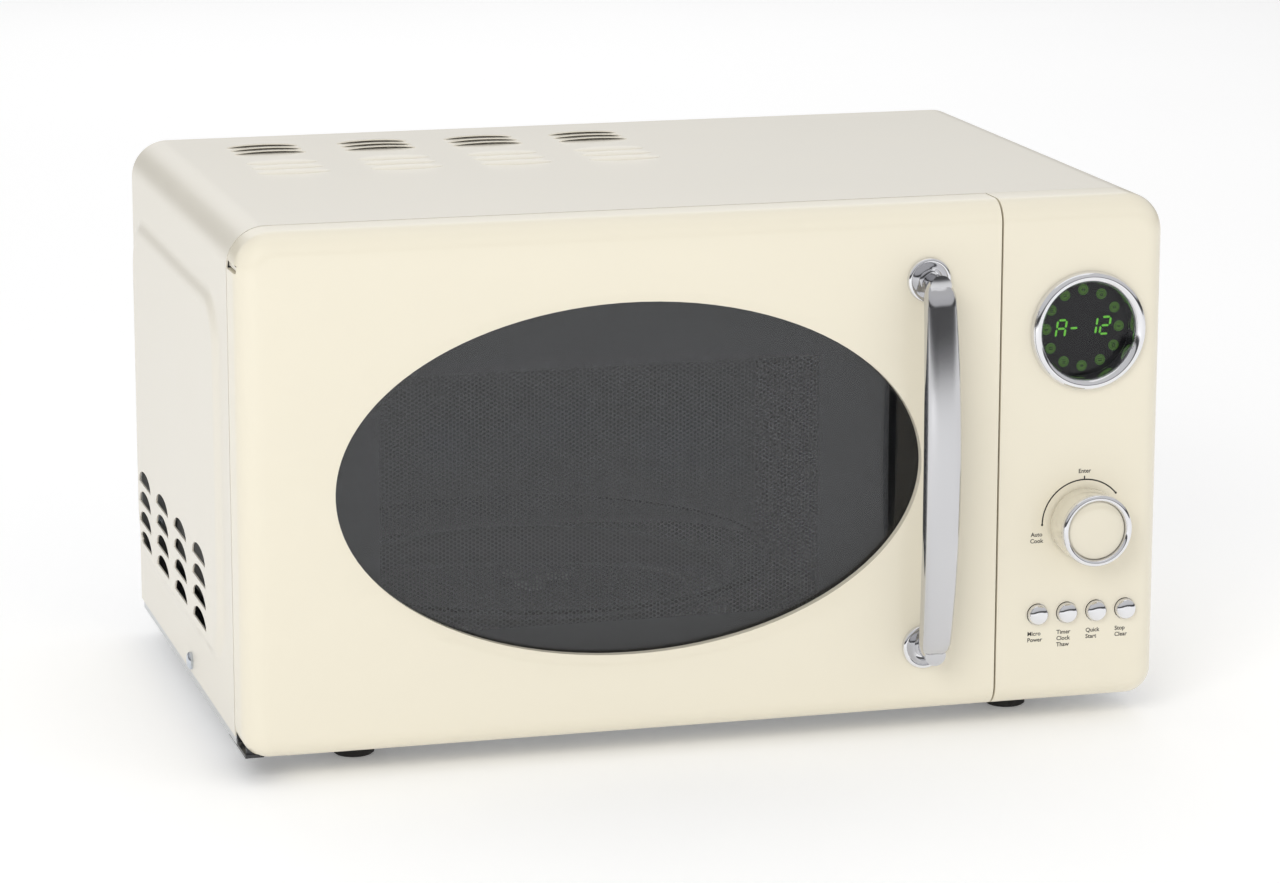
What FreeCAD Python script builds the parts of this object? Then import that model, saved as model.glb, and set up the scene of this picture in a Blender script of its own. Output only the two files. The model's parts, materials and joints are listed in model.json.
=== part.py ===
import FreeCAD, Part
import Sketcher
import math
import os
import re

# Microwave oven, millimetres. +X is to the right and -Y is to the front of the oven, +Z is up.
# The origin is on the floor, under the middle of the oven's box.

Vector = FreeCAD.Vector
doc = FreeCAD.newDocument("MicrowaveOven")
sheet = doc.addObject("Spreadsheet::Sheet", "Sizes")
NODES = []

# Driving dimensions: alias, value, meaning.
SIZES = [
    ("half_width", 226, "half the width over the casing"),
    ("top", 260.4, "height of the casing above the floor"),
    ("face", -133, "front face of the door and the control panel"),
    ("seam", -107, "front edge of the wrapper"),
    ("wrapper_back", 161, "rear edge of the wrapper"),
    ("wrapper_bottom", 18.5, "lower edge of the wrapper's sides"),
    ("wrapper_corner", 18.5, "radius of the wrapper's long top edges"),
    ("sheet_steel", 0.8, "thickness of the outer steel sheets"),
    ("front_bottom", 12, "lower edge of the door and the control panel"),
    ("front_corner_top", 18.5, "upper corners of the front, seen from the front"),
    ("front_corner_bottom", 13, "lower corners of the front, seen from the front"),
    ("front_round", 11, "rounding of the front's outer edge"),
    ("plastic", 2.5, "wall of the front mouldings"),
    ("door_right", 141.8, "right edge of the door"),
    ("door_gap", 1, "gap between the door and the control panel"),
    ("door_back", -108.5, "rear plane of the door"),
    ("window_x", -38.8, "middle of the window"),
    ("window_z", 136, "height of the middle of the window"),
    ("window_long", 142.5, "half the window's width"),
    ("window_short", 84.7, "half the window's height"),
    ("window_bevel_long", 13, "width of the soft bevel at the window's ends"),
    ("window_bevel_short", 5.5, "width of the soft bevel above and below the window"),
    ("window_bevel_depth", 1.6, "how far the bevel dips"),
    ("window_recess", 6, "depth of the glass behind the face"),
    ("glass", 3, "thickness of the door glass"),
    ("cavity_left", -207, "left wall of the cavity, inside"),
    ("cavity_right", 107, "right wall of the cavity, inside"),
    ("cavity_floor", 36, "floor of the cavity, inside"),
    ("cavity_roof", 234, "roof of the cavity, inside"),
    ("cavity_back", 152, "rear wall of the cavity, inside"),
    ("cavity_sheet", 0.7, "thickness of the cavity's steel"),
    ("cavity_corner", 3, "corner radius of the cavity's mouth"),
    ("plate_front", -107.2, "front plane of the steel front plate"),
    ("base_bottom", 14, "underside of the base plate"),
    ("base_flange", 20, "height of the base plate's upturned sides"),
    ("rear_bulge", 3.1, "how far the rear panel is pressed out"),
    ("side_raise", 2.5, "how far the raised fields of the sides stand out"),
    ("foot_radius", 10.5, "radius of a foot"),
    ("foot_x", 165, "feet either side of the middle"),
    ("foot_front", -86, "front feet"),
    ("foot_back", 134, "rear feet"),
    ("hinge_x", -221, "hinge axis, from the left edge"),
    ("hinge_y", -121.5, "hinge axis, from the front"),
    ("hinge_pin", 2.5, "radius of the hinge pins"),
    ("running", 0.05, "radial clearance of a running fit"),
    ("handle_x", 105.4, "middle of the handle"),
    ("handle_upper", 224.6, "upper end of the handle"),
    ("handle_lower", 45.4, "lower end of the handle"),
    ("handle_reach", -157, "middle line of the bar, from the front"),
    ("handle_wide", 9, "half the bar's width"),
    ("handle_deep", 5.5, "half the bar's depth"),
    ("handle_bow", 8.5, "how far the bar bows back at its ends"),
    ("handle_half", 92, "half the distance between the bar's end sections"),
    ("handle_stem", 4.4, "radius of the handle's stems"),
    ("rosette_radius", 10.8, "radius of a handle rosette"),
    ("panel_x", 186.4, "middle of the display and the knob"),
    ("display_z", 196, "height of the display"),
    ("bezel_radius", 29.2, "outer radius of the display bezel"),
    ("display_radius", 23.1, "radius of the display opening"),
    ("knob_z", 101.5, "height of the knob"),
    ("knob_radius", 17.8, "radius of the knob"),
    ("knob_front", -153, "front of the knob's ring"),
    ("knob_cap_radius", 14.3, "radius of the knob's cap"),
    ("knob_travel", 0.8, "travel of the knob when pressed"),
    ("shaft_radius", 3, "radius of the knob's shaft"),
    ("button_z", 57.1, "height of the buttons"),
    ("button_first", 163.6, "first button"),
    ("button_pitch", 15.05, "distance between the buttons"),
    ("button_radius", 5.1, "radius of a button"),
    ("button_travel", 0.8, "travel of a button"),
    ("board_front", -112, "front of the control board"),
    ("board_thick", 1.6, "thickness of the control board"),
    ("table_x", -50, "middle of the turntable"),
    ("table_y", 22.8, "middle of the turntable, front to back"),
    ("tray_radius", 122.5, "radius of the glass tray"),
    ("tray_bottom", 51.4, "underside of the glass tray"),
    ("tray_thick", 4.5, "thickness of the glass tray"),
    ("tray_rim", 66, "rim of the glass tray"),
    ("ring_radius", 84, "middle radius of the roller ring"),
    ("wheel_radius", 7.5, "radius of a roller wheel"),
    ("wheel_track", 96, "distance of a roller wheel from the middle"),
    ("latch_x", 129, "middle of the latch bar"),
    ("hook_upper", 196, "height of the upper latch hook"),
    ("hook_lower", 76, "height of the lower latch hook"),
    ("fan_x", 170, "middle of the cooling fan"),
    ("fan_z", 158, "height of the cooling fan"),
    ("fan_radius", 45, "radius of the fan blades"),
    ("core_front", -52, "front face of the transformer's core"),
    ("core_back", 12, "rear face of the transformer's core"),
    ("side_screw_y", 8.8, "the side screws' place along the depth"),
    ("side_screw_z", 24.6, "height of the side screws"),
    ("screw_shank", 1.9, "radius of a wrapper screw's shank"),
]


def fill_sheet():
    """Writes the driving dimensions into the sheet, one row each."""
    for row, (alias, number, meaning) in enumerate(SIZES, start=1):
        sheet.set(f"A{row}", meaning)
        sheet.set(f"B{row}", str(number))
        sheet.setAlias(f"B{row}", alias)
    doc.recompute()


def cells(text):
    """Turns the aliases in an expression into references to the sheet."""
    return re.sub(r"[a-z][a-z_]*", lambda word: "Sizes." + word.group(), str(text))


def number(text):
    """The present value of an expression, in millimetres."""
    found = sheet.evalExpression(cells(text))
    return float(getattr(found, "Value", found))


def bind(thing, prop, text):
    thing.setExpression(prop, cells(text))


def place(thing, x, y, z):
    """Binds an object's base point to three expressions."""
    bind(thing, "Placement.Base.x", x)
    bind(thing, "Placement.Base.y", y)
    bind(thing, "Placement.Base.z", z)


def box(name, x_range, y_range, z_range):
    """A block between six expressions."""
    block = doc.addObject("Part::Box", name)
    bind(block, "Length", f"({x_range[1]}) - ({x_range[0]})")
    bind(block, "Width", f"({y_range[1]}) - ({y_range[0]})")
    bind(block, "Height", f"({z_range[1]}) - ({z_range[0]})")
    place(block, x_range[0], y_range[0], z_range[0])
    return block


TURN = {
    "+X": FreeCAD.Rotation(Vector(0, 1, 0), 90),
    "-X": FreeCAD.Rotation(Vector(0, 1, 0), -90),
    "+Y": FreeCAD.Rotation(Vector(1, 0, 0), -90),
    "-Y": FreeCAD.Rotation(Vector(1, 0, 0), 90),
    "+Z": FreeCAD.Rotation(),
    "-Z": FreeCAD.Rotation(Vector(1, 0, 0), 180),
}


def rod(name, way, start, radius, length):
    """A round bar from a start point along one axis."""
    bar = doc.addObject("Part::Cylinder", name)
    bar.Placement = FreeCAD.Placement(Vector(), TURN[way])
    bind(bar, "Radius", radius)
    bind(bar, "Height", length)
    place(bar, *start)
    return bar


def fuse(name, *pieces):
    joined = doc.addObject("Part::MultiFuse", name)
    joined.Shapes = list(pieces)
    return joined


def cut(name, base, *tools):
    """Takes the tools away from the base."""
    tool = tools[0] if len(tools) == 1 else fuse(name + "_tools", *tools)
    result = doc.addObject("Part::Cut", name)
    result.Base = base
    result.Tool = tool
    return result


def common(name, first, second):
    result = doc.addObject("Part::Common", name)
    result.Base = first
    result.Tool = second
    return result


def group(name, pieces):
    """Several separate solids in one node."""
    together = doc.addObject("Part::Compound", name)
    together.Links = list(pieces)
    return together


def node(thing, label):
    """Marks a finished sub-part; its label names its file."""
    thing.Label = label
    NODES.append(thing)
    return thing


def body_on(name, role, level):
    """A body and a sketch on one of its own origin planes, moved out to a level."""
    solid = doc.addObject("PartDesign::Body", name)
    sketch = solid.newObject("Sketcher::SketchObject", name + "_outline")
    plane = [feature for feature in solid.Origin.OriginFeatures if feature.Role == role][0]
    sketch.AttachmentSupport = [(plane, "")]
    sketch.MapMode = "FlatFace"
    bind(sketch, "AttachmentOffset.Base.z", level)
    return solid, sketch


def name_and_bind(sketch, index, label, text):
    sketch.renameConstraint(index, label)
    bind(sketch, "Constraints." + label, text)


def sketch_line(sketch, start, end):
    return sketch.addGeometry(Part.LineSegment(Vector(*start, 0), Vector(*end, 0)), False)


def sketch_rectangle(sketch, tag, low_u, high_u, low_v, high_v, lower, upper):
    """A rectangle with rounded lower and upper corners; all its sizes are expressions."""
    u0, u1, v0, v1 = (number(text) for text in (low_u, high_u, low_v, high_v))
    corners = [
        (u0, v0, number(lower), 180), (u1, v0, number(lower), 270),
        (u1, v1, number(upper), 0), (u0, v1, number(upper), 90),
    ]
    arcs = []
    for u, v, radius, start in corners:
        centre = Vector(u + math.copysign(radius, (u0 + u1) / 2 - u),
                        v + math.copysign(radius, (v0 + v1) / 2 - v), 0)
        circle = Part.Circle(centre, Vector(0, 0, 1), radius)
        arc = Part.ArcOfCircle(circle, math.radians(start), math.radians(start + 90))
        arcs.append(sketch.addGeometry(arc, False))
    lines = []
    for first in range(4):
        second = (first + 1) % 4
        start = sketch.Geometry[arcs[first]].EndPoint
        end = sketch.Geometry[arcs[second]].StartPoint
        lines.append(sketch_line(sketch, (start.x, start.y), (end.x, end.y)))
    for side in range(4):
        following = (side + 1) % 4
        sketch.addConstraint(Sketcher.Constraint("Tangent", arcs[side], 2, lines[side], 1))
        sketch.addConstraint(Sketcher.Constraint("Tangent", lines[side], 2, arcs[following], 1))
    for side, kind in ((0, "Horizontal"), (1, "Vertical"), (2, "Horizontal"), (3, "Vertical")):
        sketch.addConstraint(Sketcher.Constraint(kind, lines[side]))
    sketch.addConstraint(Sketcher.Constraint("Equal", arcs[0], arcs[1]))
    sketch.addConstraint(Sketcher.Constraint("Equal", arcs[2], arcs[3]))
    settings = [
        ("low_v", "DistanceY", (-1, 1, lines[0], 1, v0), low_v),
        ("high_u", "DistanceX", (-1, 1, lines[1], 1, u1), high_u),
        ("high_v", "DistanceY", (-1, 1, lines[2], 1, v1), high_v),
        ("low_u", "DistanceX", (-1, 1, lines[3], 1, u0), low_u),
        ("lower", "Radius", (arcs[0], number(lower)), lower),
        ("upper", "Radius", (arcs[2], number(upper)), upper),
    ]
    for label, kind, arguments, text in settings:
        index = sketch.addConstraint(Sketcher.Constraint(kind, *arguments))
        name_and_bind(sketch, index, tag + label, text)


def pad(solid, sketch, length, name):
    feature = solid.newObject("PartDesign::Pad", name)
    feature.Profile = sketch
    bind(feature, "Length", length)
    solid.Tip = feature
    return feature


def plate(name, role, level, outline, depth, lower, upper):
    """A padded rectangle with rounded corners, on one origin plane."""
    solid, sketch = body_on(name, role, level)
    sketch_rectangle(sketch, "", *outline, lower, upper)
    pad(solid, sketch, depth, name + "_pad")
    return solid


def round_edges(solid, feature, keep, radius, name):
    """Fillets those edges of a body's feature that the keep test accepts."""
    doc.recompute()
    edges = [f"Edge{index}" for index, edge in enumerate(feature.Shape.Edges, start=1) if keep(edge)]
    fillet = solid.newObject("PartDesign::Fillet", name)
    fillet.Base = (feature, edges)
    bind(fillet, "Radius", radius)
    solid.Tip = fillet
    return fillet


def lies_on(axis, level):
    """A test for edges whose every end and middle lies at one level of one axis."""
    def test(edge):
        samples = [edge.valueAt(edge.FirstParameter + share * (edge.LastParameter - edge.FirstParameter))
                   for share in (0, 0.5, 1)]
        return all(abs(getattr(point, axis) - level) < 1e-4 for point in samples)
    return test


def turned(name, way, centre, points):
    """A solid of revolution from (radius, height) points, sizes read from the sheet."""
    corners = [Vector(number(radius), 0, number(height)) for radius, height in points]
    outline = Part.Wire(Part.makePolygon(corners + corners[:1]))
    shape = Part.Face(outline).revolve(Vector(), Vector(0, 0, 1), 360)
    piece = doc.addObject("Part::Feature", name)
    piece.Shape = shape
    piece.Placement = FreeCAD.Placement(Vector(*(number(text) for text in centre)), TURN[way])
    return piece


def ellipse_face(name, x, y, z, long_radius, short_radius):
    """An upright ellipse, facing the front."""
    outline = doc.addObject("Part::Ellipse", name)
    outline.Placement = FreeCAD.Placement(Vector(), TURN["-Y"])
    bind(outline, "MajorRadius", long_radius)
    bind(outline, "MinorRadius", short_radius)
    place(outline, x, y, z)
    return outline


def ellipse_block(name, extra, start, end):
    """An elliptical block about the window's middle, wider than the window by a margin."""
    outline = ellipse_face(name + "_outline", "window_x", start, "window_z",
                           f"window_long + {extra}", f"window_short + {extra}")
    block = doc.addObject("Part::Extrusion", name)
    block.Base = outline
    block.DirMode = "Custom"
    block.Dir = Vector(0, -1, 0)
    block.Solid = True
    bind(block, "LengthFwd", f"({start}) - ({end})")
    return block


# ---------------------------------------------------------------- casing


def louvre_slots(name, long_axis, centres, length, height):
    """A row of slots through a sheet: small blocks, all alike."""
    slots = []
    for index, (x, y, z) in enumerate(centres):
        slot = box(f"{name}_{index}", *long_axis(x, y, z, length, height))
        slots.append(slot)
    return slots


def side_slot(x, y, z, length, height):
    reach = 4
    return ((f"{x} - {reach}", f"{x} + {reach}"), (f"{y} - {length} / 2", f"{y} + {length} / 2"),
            (f"{z} - {height} / 2", f"{z} + {height} / 2"))


def top_slot(x, y, z, length, height):
    reach = 4
    return ((f"{x} - {length} / 2", f"{x} + {length} / 2"), (f"{y} - {height} / 2", f"{y} + {height} / 2"),
            (f"{z} - {reach}", f"{z} + {reach}"))


SIDE_COLUMNS = [127, 75, 22, -31]
SIDE_ROWS = [88, 77.4, 66.8, 56.2]
TOP_GROUPS = [-164.5, -107.6, -51.6, 4.1]
TOP_ROWS = [103, 114, 125, 42, 57.5, 73]


def side_field(name, side, low, high, inset):
    """A raised field with sloped edges on one side of the wrapper."""
    start, end = (low, high) if side > 0 else (f"0 - ({high})", f"0 - ({low})")
    outline = (f"seam + 28 + {inset}", f"wrapper_back - 10 - {inset}", f"51 + {inset}", f"218 - {inset}")
    solid = plate(name, "YZ_Plane", start, outline, f"({end}) - ({start})", 18, 18)
    face = number(end) if side > 0 else number(start)
    round_edges(solid, doc.getObject(name + "_pad"), lies_on("x", face), "side_raise - 0.2",
                name + "_slope")
    return solid


def outer_wrapper():
    """The painted steel wrapper: two sides and a top in one sheet, with louvres."""
    outer = plate("wrapper_outer", "XZ_Plane", "0 - wrapper_back",
                  ("0 - half_width", "half_width", "wrapper_bottom - 40", "top"),
                  "wrapper_back - seam", 1, "wrapper_corner")
    inner = plate("wrapper_inner", "XZ_Plane", "0 - wrapper_back - 1",
                  ("sheet_steel - half_width", "half_width - sheet_steel", "wrapper_bottom - 50",
                   "top - sheet_steel"),
                  "wrapper_back - seam + 2", 1, "wrapper_corner - sheet_steel")
    floor_cut = box("wrapper_floor_cut", ("0 - half_width - 5", "half_width + 5"),
                    ("seam - 5", "wrapper_back + 5"), ("wrapper_bottom - 60", "wrapper_bottom"))
    raised, sunk = [], []
    for side, hand in ((-1, "left"), (1, "right")):
        raised.append(side_field(f"raised_{hand}", side, "half_width - 0.4", "half_width + side_raise",
                                 "0"))
        sunk.append(side_field(f"sunk_{hand}", side, "half_width - sheet_steel - 0.1",
                               "half_width + side_raise - sheet_steel", "sheet_steel"))
    left = [("0 - half_width", y, z) for y in SIDE_COLUMNS for z in SIDE_ROWS]
    above = [(x, y, "top") for x in TOP_GROUPS for y in TOP_ROWS]
    slots = louvre_slots("side_louvre", side_slot, left, 36, 5.2)
    slots += louvre_slots("top_louvre", top_slot, above, 34, 4)
    screw_holes = [rod(f"wrapper_screw_hole_{way[0]}", way, (f"{side} * (half_width - 3)", "side_screw_y",
                                                             "side_screw_z"),
                       "screw_shank + 0.3", 6) for side, way in ((-1, "-X"), (1, "+X"))]
    pressed = fuse("wrapper_pressed", cut("wrapper_bent", outer, inner, floor_cut), *raised)
    return node(cut("wrapper_cut", pressed, *sunk, *slots, *screw_holes), "outer_wrapper")


def pan_head_screw(name, way, start, head, shank, length):
    """A pan head screw whose head sits on its start point; the shank runs back along the axis."""
    points = [(0, f"0 - {length}"), (shank, f"0 - {length}"), (shank, 0), (head, 0), (head, 1.2),
              (f"{head} * 0.8", 2.1), (f"{head} * 0.45", 2.5), (0, 2.6)]
    return turned(name, way, start, points)


def wrapper_screws():
    """Two side screws and four rear screws of the wrapper."""
    screws = []
    for side, way in ((-1, "-X"), (1, "+X")):
        screws.append(pan_head_screw(f"side_screw_{way[0]}", way,
                                     (f"{side} * half_width", "side_screw_y", "side_screw_z"),
                                    4.4, 1.9, 8))
    for index, (x, z) in enumerate(((-214, 60), (-214, 225), (214, 60), (214, 225))):
        screws.append(pan_head_screw(f"rear_screw_{index}", "+Y", (x, "wrapper_back - 1.6", z), 4.2, 1.9,
                                     7))
    return node(group("screws", screws), "wrapper_screws")


def base_plate():
    """The steel base: a pan with upturned sides inside the wrapper."""
    pan = box("base_outer", ("0.9 - half_width", "half_width - 0.9"),
              ("plate_front + 1", "wrapper_back - 2"),
              ("base_bottom", "base_bottom + base_flange"))
    inside = box("base_inside", ("0.9 - half_width + sheet_steel", "half_width - 0.9 - sheet_steel"),
                 ("plate_front - 1", "wrapper_back + 1"), ("base_bottom + sheet_steel", "base_bottom + 60"))
    holes = [rod(f"foot_hole_{index}", "+Z", (x, y, "base_bottom - 1"), 3.2, 4)
             for index, (x, y) in enumerate(foot_places())]
    screw_holes = [rod(f"side_hole_{way[0]}", way, (f"{side} * (half_width - 4)", "side_screw_y",
                                                    "side_screw_z"),
                       "screw_shank + 0.3", 5)
                   for side, way in ((-1, "-X"), (1, "+X"))]
    slots = [box(f"base_slot_{index}", (130 + 12 * index, 135 + 12 * index), (-40, 40),
                 ("base_bottom - 1", "base_bottom + 3")) for index in range(6)]
    return node(cut("base_cut", pan, inside, *holes, *screw_holes, *slots), "base_plate")


def foot_places():
    return [(f"{side} * foot_x", y) for side in (-1, 1) for y in ("foot_front", "foot_back")]


def feet():
    """Four rubber feet, each with a stem through the base plate."""
    made = []
    for index, (x, y) in enumerate(foot_places()):
        points = [(0, 0), ("foot_radius - 1.6", 0), ("foot_radius - 0.6", 0.8),
                  ("foot_radius", "base_bottom - 1"),
                  ("foot_radius - 0.6", "base_bottom"), (3, "base_bottom"), (3, "base_bottom + 1.2"),
                  (4.2, "base_bottom + 1.6"), (2.4, "base_bottom + 5"), (0, "base_bottom + 5")]
        made.append(turned(f"foot_{index}", "+Z", (x, y, 0), points))
    return node(group("feet_group", made), "feet")


def rear_panel():
    """The rear sheet with a bulge for the cavity, a fan grille and a hole for the mains lead."""
    flat = plate("rear_flat", "XZ_Plane", "0 - wrapper_back + 1.6",
                 ("1.1 - half_width", "half_width - 1.1", "base_bottom + sheet_steel", "top - 1"),
                 "sheet_steel", 2, "wrapper_corner - 1")
    bulge = plate("rear_bulge_outer", "XZ_Plane", "0 - wrapper_back + 1.6 - rear_bulge",
                  (-196, 98, 44, 228), "rear_bulge", 24, 24)
    round_edges(bulge, doc.getObject("rear_bulge_outer_pad"),
                lies_on("y",
                        number("wrapper_back - 1.6 + rear_bulge")), "rear_bulge - 0.3", "rear_bulge_round")
    hollow = plate("rear_bulge_inner", "XZ_Plane", "0 - wrapper_back + 1.6 - rear_bulge + sheet_steel",
                   ("sheet_steel - 196", "98 - sheet_steel", "44 + sheet_steel", "228 - sheet_steel"),
                   "rear_bulge + 3", "24 - sheet_steel", "24 - sheet_steel")
    round_edges(hollow, doc.getObject("rear_bulge_inner_pad"),
                lies_on("y", number("wrapper_back - 1.6 + rear_bulge - sheet_steel")),
                "rear_bulge - 0.3 - sheet_steel", "rear_hollow_round")
    slots = [box(f"grille_{row}_{column}", (134 + 26 * column, 154 + 26 * column),
                 ("wrapper_back - 6", "wrapper_back + 2"), (116 + 9 * row, 120 + 9 * row))
             for row in range(10) for column in range(3)]
    lead_hole = rod("lead_hole", "+Y", (200, "wrapper_back - 6", 50), 8.2, 12)
    screw_holes = [rod(f"rear_hole_{index}", "+Y", (x, "wrapper_back - 6", z), 2.2, 12)
                   for index, (x, z) in enumerate(((-214, 60), (-214, 225), (214, 60), (214, 225)))]
    joined = fuse("rear_sheet", flat, bulge)
    return node(cut("rear_cut", joined, hollow, *slots, lead_hole, *screw_holes), "rear_panel")


def cord_gland():
    """The strain relief in the rear panel, where the mains lead enters."""
    points = [(3.9, -12), (6.6, -12), (6.6, -4), (8.8, -3.4), (8.8, -1.2), (8, -0.9), (8, 0), (10.4, 0),
              (10.4, 1.4), (9.2, 2.2), (6.6, 3), (3.9, 3)]
    return node(turned("gland", "+Y", (200, "wrapper_back - 1.6", 50), points), "cord_gland")


# ---------------------------------------------------------------- chassis and cavity


def front_plate():
    """The steel front plate: the flange round the cavity, latch slots and an opening for the controls."""
    sheet_part = plate("front_sheet", "XZ_Plane", "0 - plate_front - sheet_steel",
                       ("1 - half_width", "half_width - 1", "base_bottom + 1", "top - 1"),
                       "sheet_steel", 3, "wrapper_corner - 1")
    mouth = plate("front_mouth", "XZ_Plane", "0 - plate_front - sheet_steel - 2",
                  ("cavity_left", "cavity_right", "cavity_floor", "cavity_roof"),
                  "sheet_steel + 4", "cavity_corner", "cavity_corner")
    hooks = [box(f"hook_slot_{index}", ("latch_x - 4.5", "latch_x + 6.5"),
                 ("plate_front - 2", "plate_front + 4"),
                 (f"{height} - 10", f"{height} + 12"))
             for index, height in enumerate(("hook_upper", "hook_lower"))]
    controls = box("controls_opening", (152, 217), ("plate_front - 2", "plate_front + 4"), (40, 236))
    arm_slot = box("hinge_arm_slot", (-230, "hinge_x + 6"), ("plate_front - 2", "plate_front + 4"),
                   (242.3, 245.1))
    return node(cut("front_plate_cut", sheet_part, mouth, *hooks, controls, arm_slot), "front_plate")


def cavity_shell():
    """The cooking cavity: a steel box, open at the front."""
    outside = plate("cavity_outside", "XZ_Plane", "0 - cavity_back - cavity_sheet",
                    ("cavity_left - cavity_sheet", "cavity_right + cavity_sheet",
                     "cavity_floor - cavity_sheet", "cavity_roof + cavity_sheet"),
                    "cavity_back + cavity_sheet - plate_front - sheet_steel",
                    "cavity_corner + cavity_sheet", "cavity_corner + cavity_sheet")
    inside = plate("cavity_inside", "XZ_Plane", "0 - cavity_back",
                   ("cavity_left", "cavity_right", "cavity_floor", "cavity_roof"),
                   "cavity_back - plate_front + 3", "cavity_corner", "cavity_corner")
    shaft_hole = rod("shaft_hole", "+Z", ("table_x", "table_y", "cavity_floor - 3"), 6, 6)
    port = box("wave_port", ("cavity_right - 2", "cavity_right + 4"), (0, 60), (150, 186))
    lamp_vents = [rod(f"lamp_vent_{row}_{column}", "+X", ("cavity_right - 2", 84 + 7 * column,
                                                          196 + 7 * row), 2, 5)
                  for row in range(4) for column in range(5)]
    steam_vents = [rod(f"steam_vent_{row}_{column}", "-X", ("cavity_left + 2", 90 + 7 * column,
                                                            180 + 7 * row), 2, 5)
                   for row in range(5) for column in range(6)]
    return node(cut("cavity_cut", outside, inside, shaft_hole, port, *lamp_vents, *steam_vents),
                "cavity_shell")


def waveguide():
    """The channel that leads from the magnetron to the port in the cavity's right wall."""
    start = "cavity_right + cavity_sheet + 0.1"
    outside = box("guide_outside", (start, "cavity_right + 19"), (-8, 68), (142, 206))
    inside = box("guide_inside", ("cavity_right - 3", "cavity_right + 18.2"), (-7.2, 67.2), (142.8, 205.2))
    hole = rod("guide_hole", "+X", ("cavity_right + 15", 30, 176), 12, 8)
    return node(cut("guide_cut", outside, inside, hole), "waveguide")


def waveguide_cover():
    """The mica sheet over the port, inside the cavity."""
    cover = plate("mica", "YZ_Plane", "cavity_right - 0.6", (-8, 68, 142, 194), 0.5, 6, 6)
    return node(cover, "waveguide_cover")


def magnetron_body():
    """The magnetron: a steel yoke round the anode, with its antenna and filter box."""
    low = "cavity_right + 19.2"
    yoke = box("yoke_outside", (low, "cavity_right + 75"), (-12, 72), (134, 212))
    window = box("yoke_window", ("cavity_right + 20.8", "cavity_right + 73.4"), (-14, 74), (135.6, 210.4))
    anode = rod("anode", "+X", ("cavity_right + 19.4", 30, 176), 19, 55)
    antenna = rod("antenna", "+X", ("cavity_right + 3", 30, 176), 7.5, 18)
    filter_box = box("filter_box", ("cavity_right + 75", "cavity_right + 100"), (4, 56), (150, 202))
    return node(fuse("magnetron_fused", cut("yoke", yoke, window), anode, antenna, filter_box),
                "magnetron_body")


def magnetron_fins():
    """Six cooling fins pressed on the anode."""
    fins = []
    for index in range(6):
        start = f"cavity_right + 26 + {8 * index}"
        blank = box(f"fin_blank_{index}", (start, f"{start} + 0.8"), (-11, 71), (135.8, 210.2))
        bore = rod(f"fin_bore_{index}", "+X", (f"{start} - 1", 30, 176), 19.1, 3)
        fins.append(cut(f"fin_{index}", blank, bore))
    return node(group("fins", fins), "magnetron_fins")


def transformer_core():
    """The transformer's laminated core with two winding windows."""
    block = box("core_block", (124, 206), ("core_front", "core_back"), (15, 88))
    feet_strip = box("core_feet", (116, 214), ("core_front + 6", "core_back - 6"), (15, 17))
    windows = [box(f"core_window_{index}", (x, x + 15), ("core_front - 8", "core_back + 8"), (30, 73))
               for index, x in enumerate((138, 177))]
    return node(cut("core_cut", fuse("core_fused", block, feet_strip), *windows), "transformer_core")


def transformer_windings():
    """The windings round the core's middle limb."""
    outside = plate("winding_outside", "XY_Plane", 31, (139, 191, "core_front - 14", "core_back + 14"),
                    41, 12, 12)
    limb = box("winding_limb", (152.7, 177.3), ("core_front - 0.4", "core_back + 0.4"), (28, 75))
    return node(cut("winding_cut", outside, limb), "transformer_windings")


def capacitor():
    """The oval capacitor can with two terminals."""
    can = plate("capacitor_can", "XY_Plane", "base_bottom + sheet_steel + 0.2", (126, 178, 50, 82), 86,
                15.5, 15.5)
    terminals = [box(f"terminal_{index}", (x, x + 6), (65.5, 66.5), (100, 110)) for index,
                 x in enumerate((138, 160))]
    return node(fuse("capacitor_fused", can, *terminals), "capacitor")


def rectifier_diode():
    """The high voltage diode between the capacitor and the chassis."""
    barrel = rod("diode_barrel", "+X", (186, 60, 60), 4, 18)
    leads = rod("diode_leads", "+X", (180, 60, 60), 0.8, 30)
    return node(fuse("diode", barrel, leads), "rectifier_diode")


def filter_board():
    """The mains filter board beside the lead's inlet."""
    board = box("filter_pcb", (184, 222), (88, 146), (68, 69.6))
    parts = [
        rod("filter_choke", "+Z", (196, 108, 69), 9, 14),
        box("filter_fuse", (208, 216), (94, 124), (69, 77)),
        box("filter_capacitor", (188, 210), (126, 140), (69, 81)),
    ]
    return node(fuse("filter", board, *parts), "filter_board")


def fan_shroud():
    """The plate and ring that hold the cooling fan behind the magnetron."""
    board = box("shroud_plate", (116, 222), (120, 121.6), (96, 216))
    hole = rod("shroud_hole", "+Y", ("fan_x", 115, "fan_z"), "fan_radius + 3", 12)
    collar = rod("shroud_collar", "+Y", ("fan_x", 121, "fan_z"), "fan_radius + 4.5", 14)
    collar_hole = rod("collar_hole", "+Y", ("fan_x", 115, "fan_z"), "fan_radius + 3", 30)
    arms = [box("shroud_arm_low", ("fan_x - 6", "fan_x + 6"), (117, 120.8), ("fan_z - 52", "fan_z - 22")),
            box("shroud_arm_high", ("fan_x - 6", "fan_x + 6"), (117, 120.8), ("fan_z + 22", "fan_z + 52"))]
    sheet_part = cut("shroud_sheet", fuse("shroud_fused", board, collar), hole, collar_hole)
    return node(fuse("shroud", sheet_part, *arms), "fan_shroud")


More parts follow.
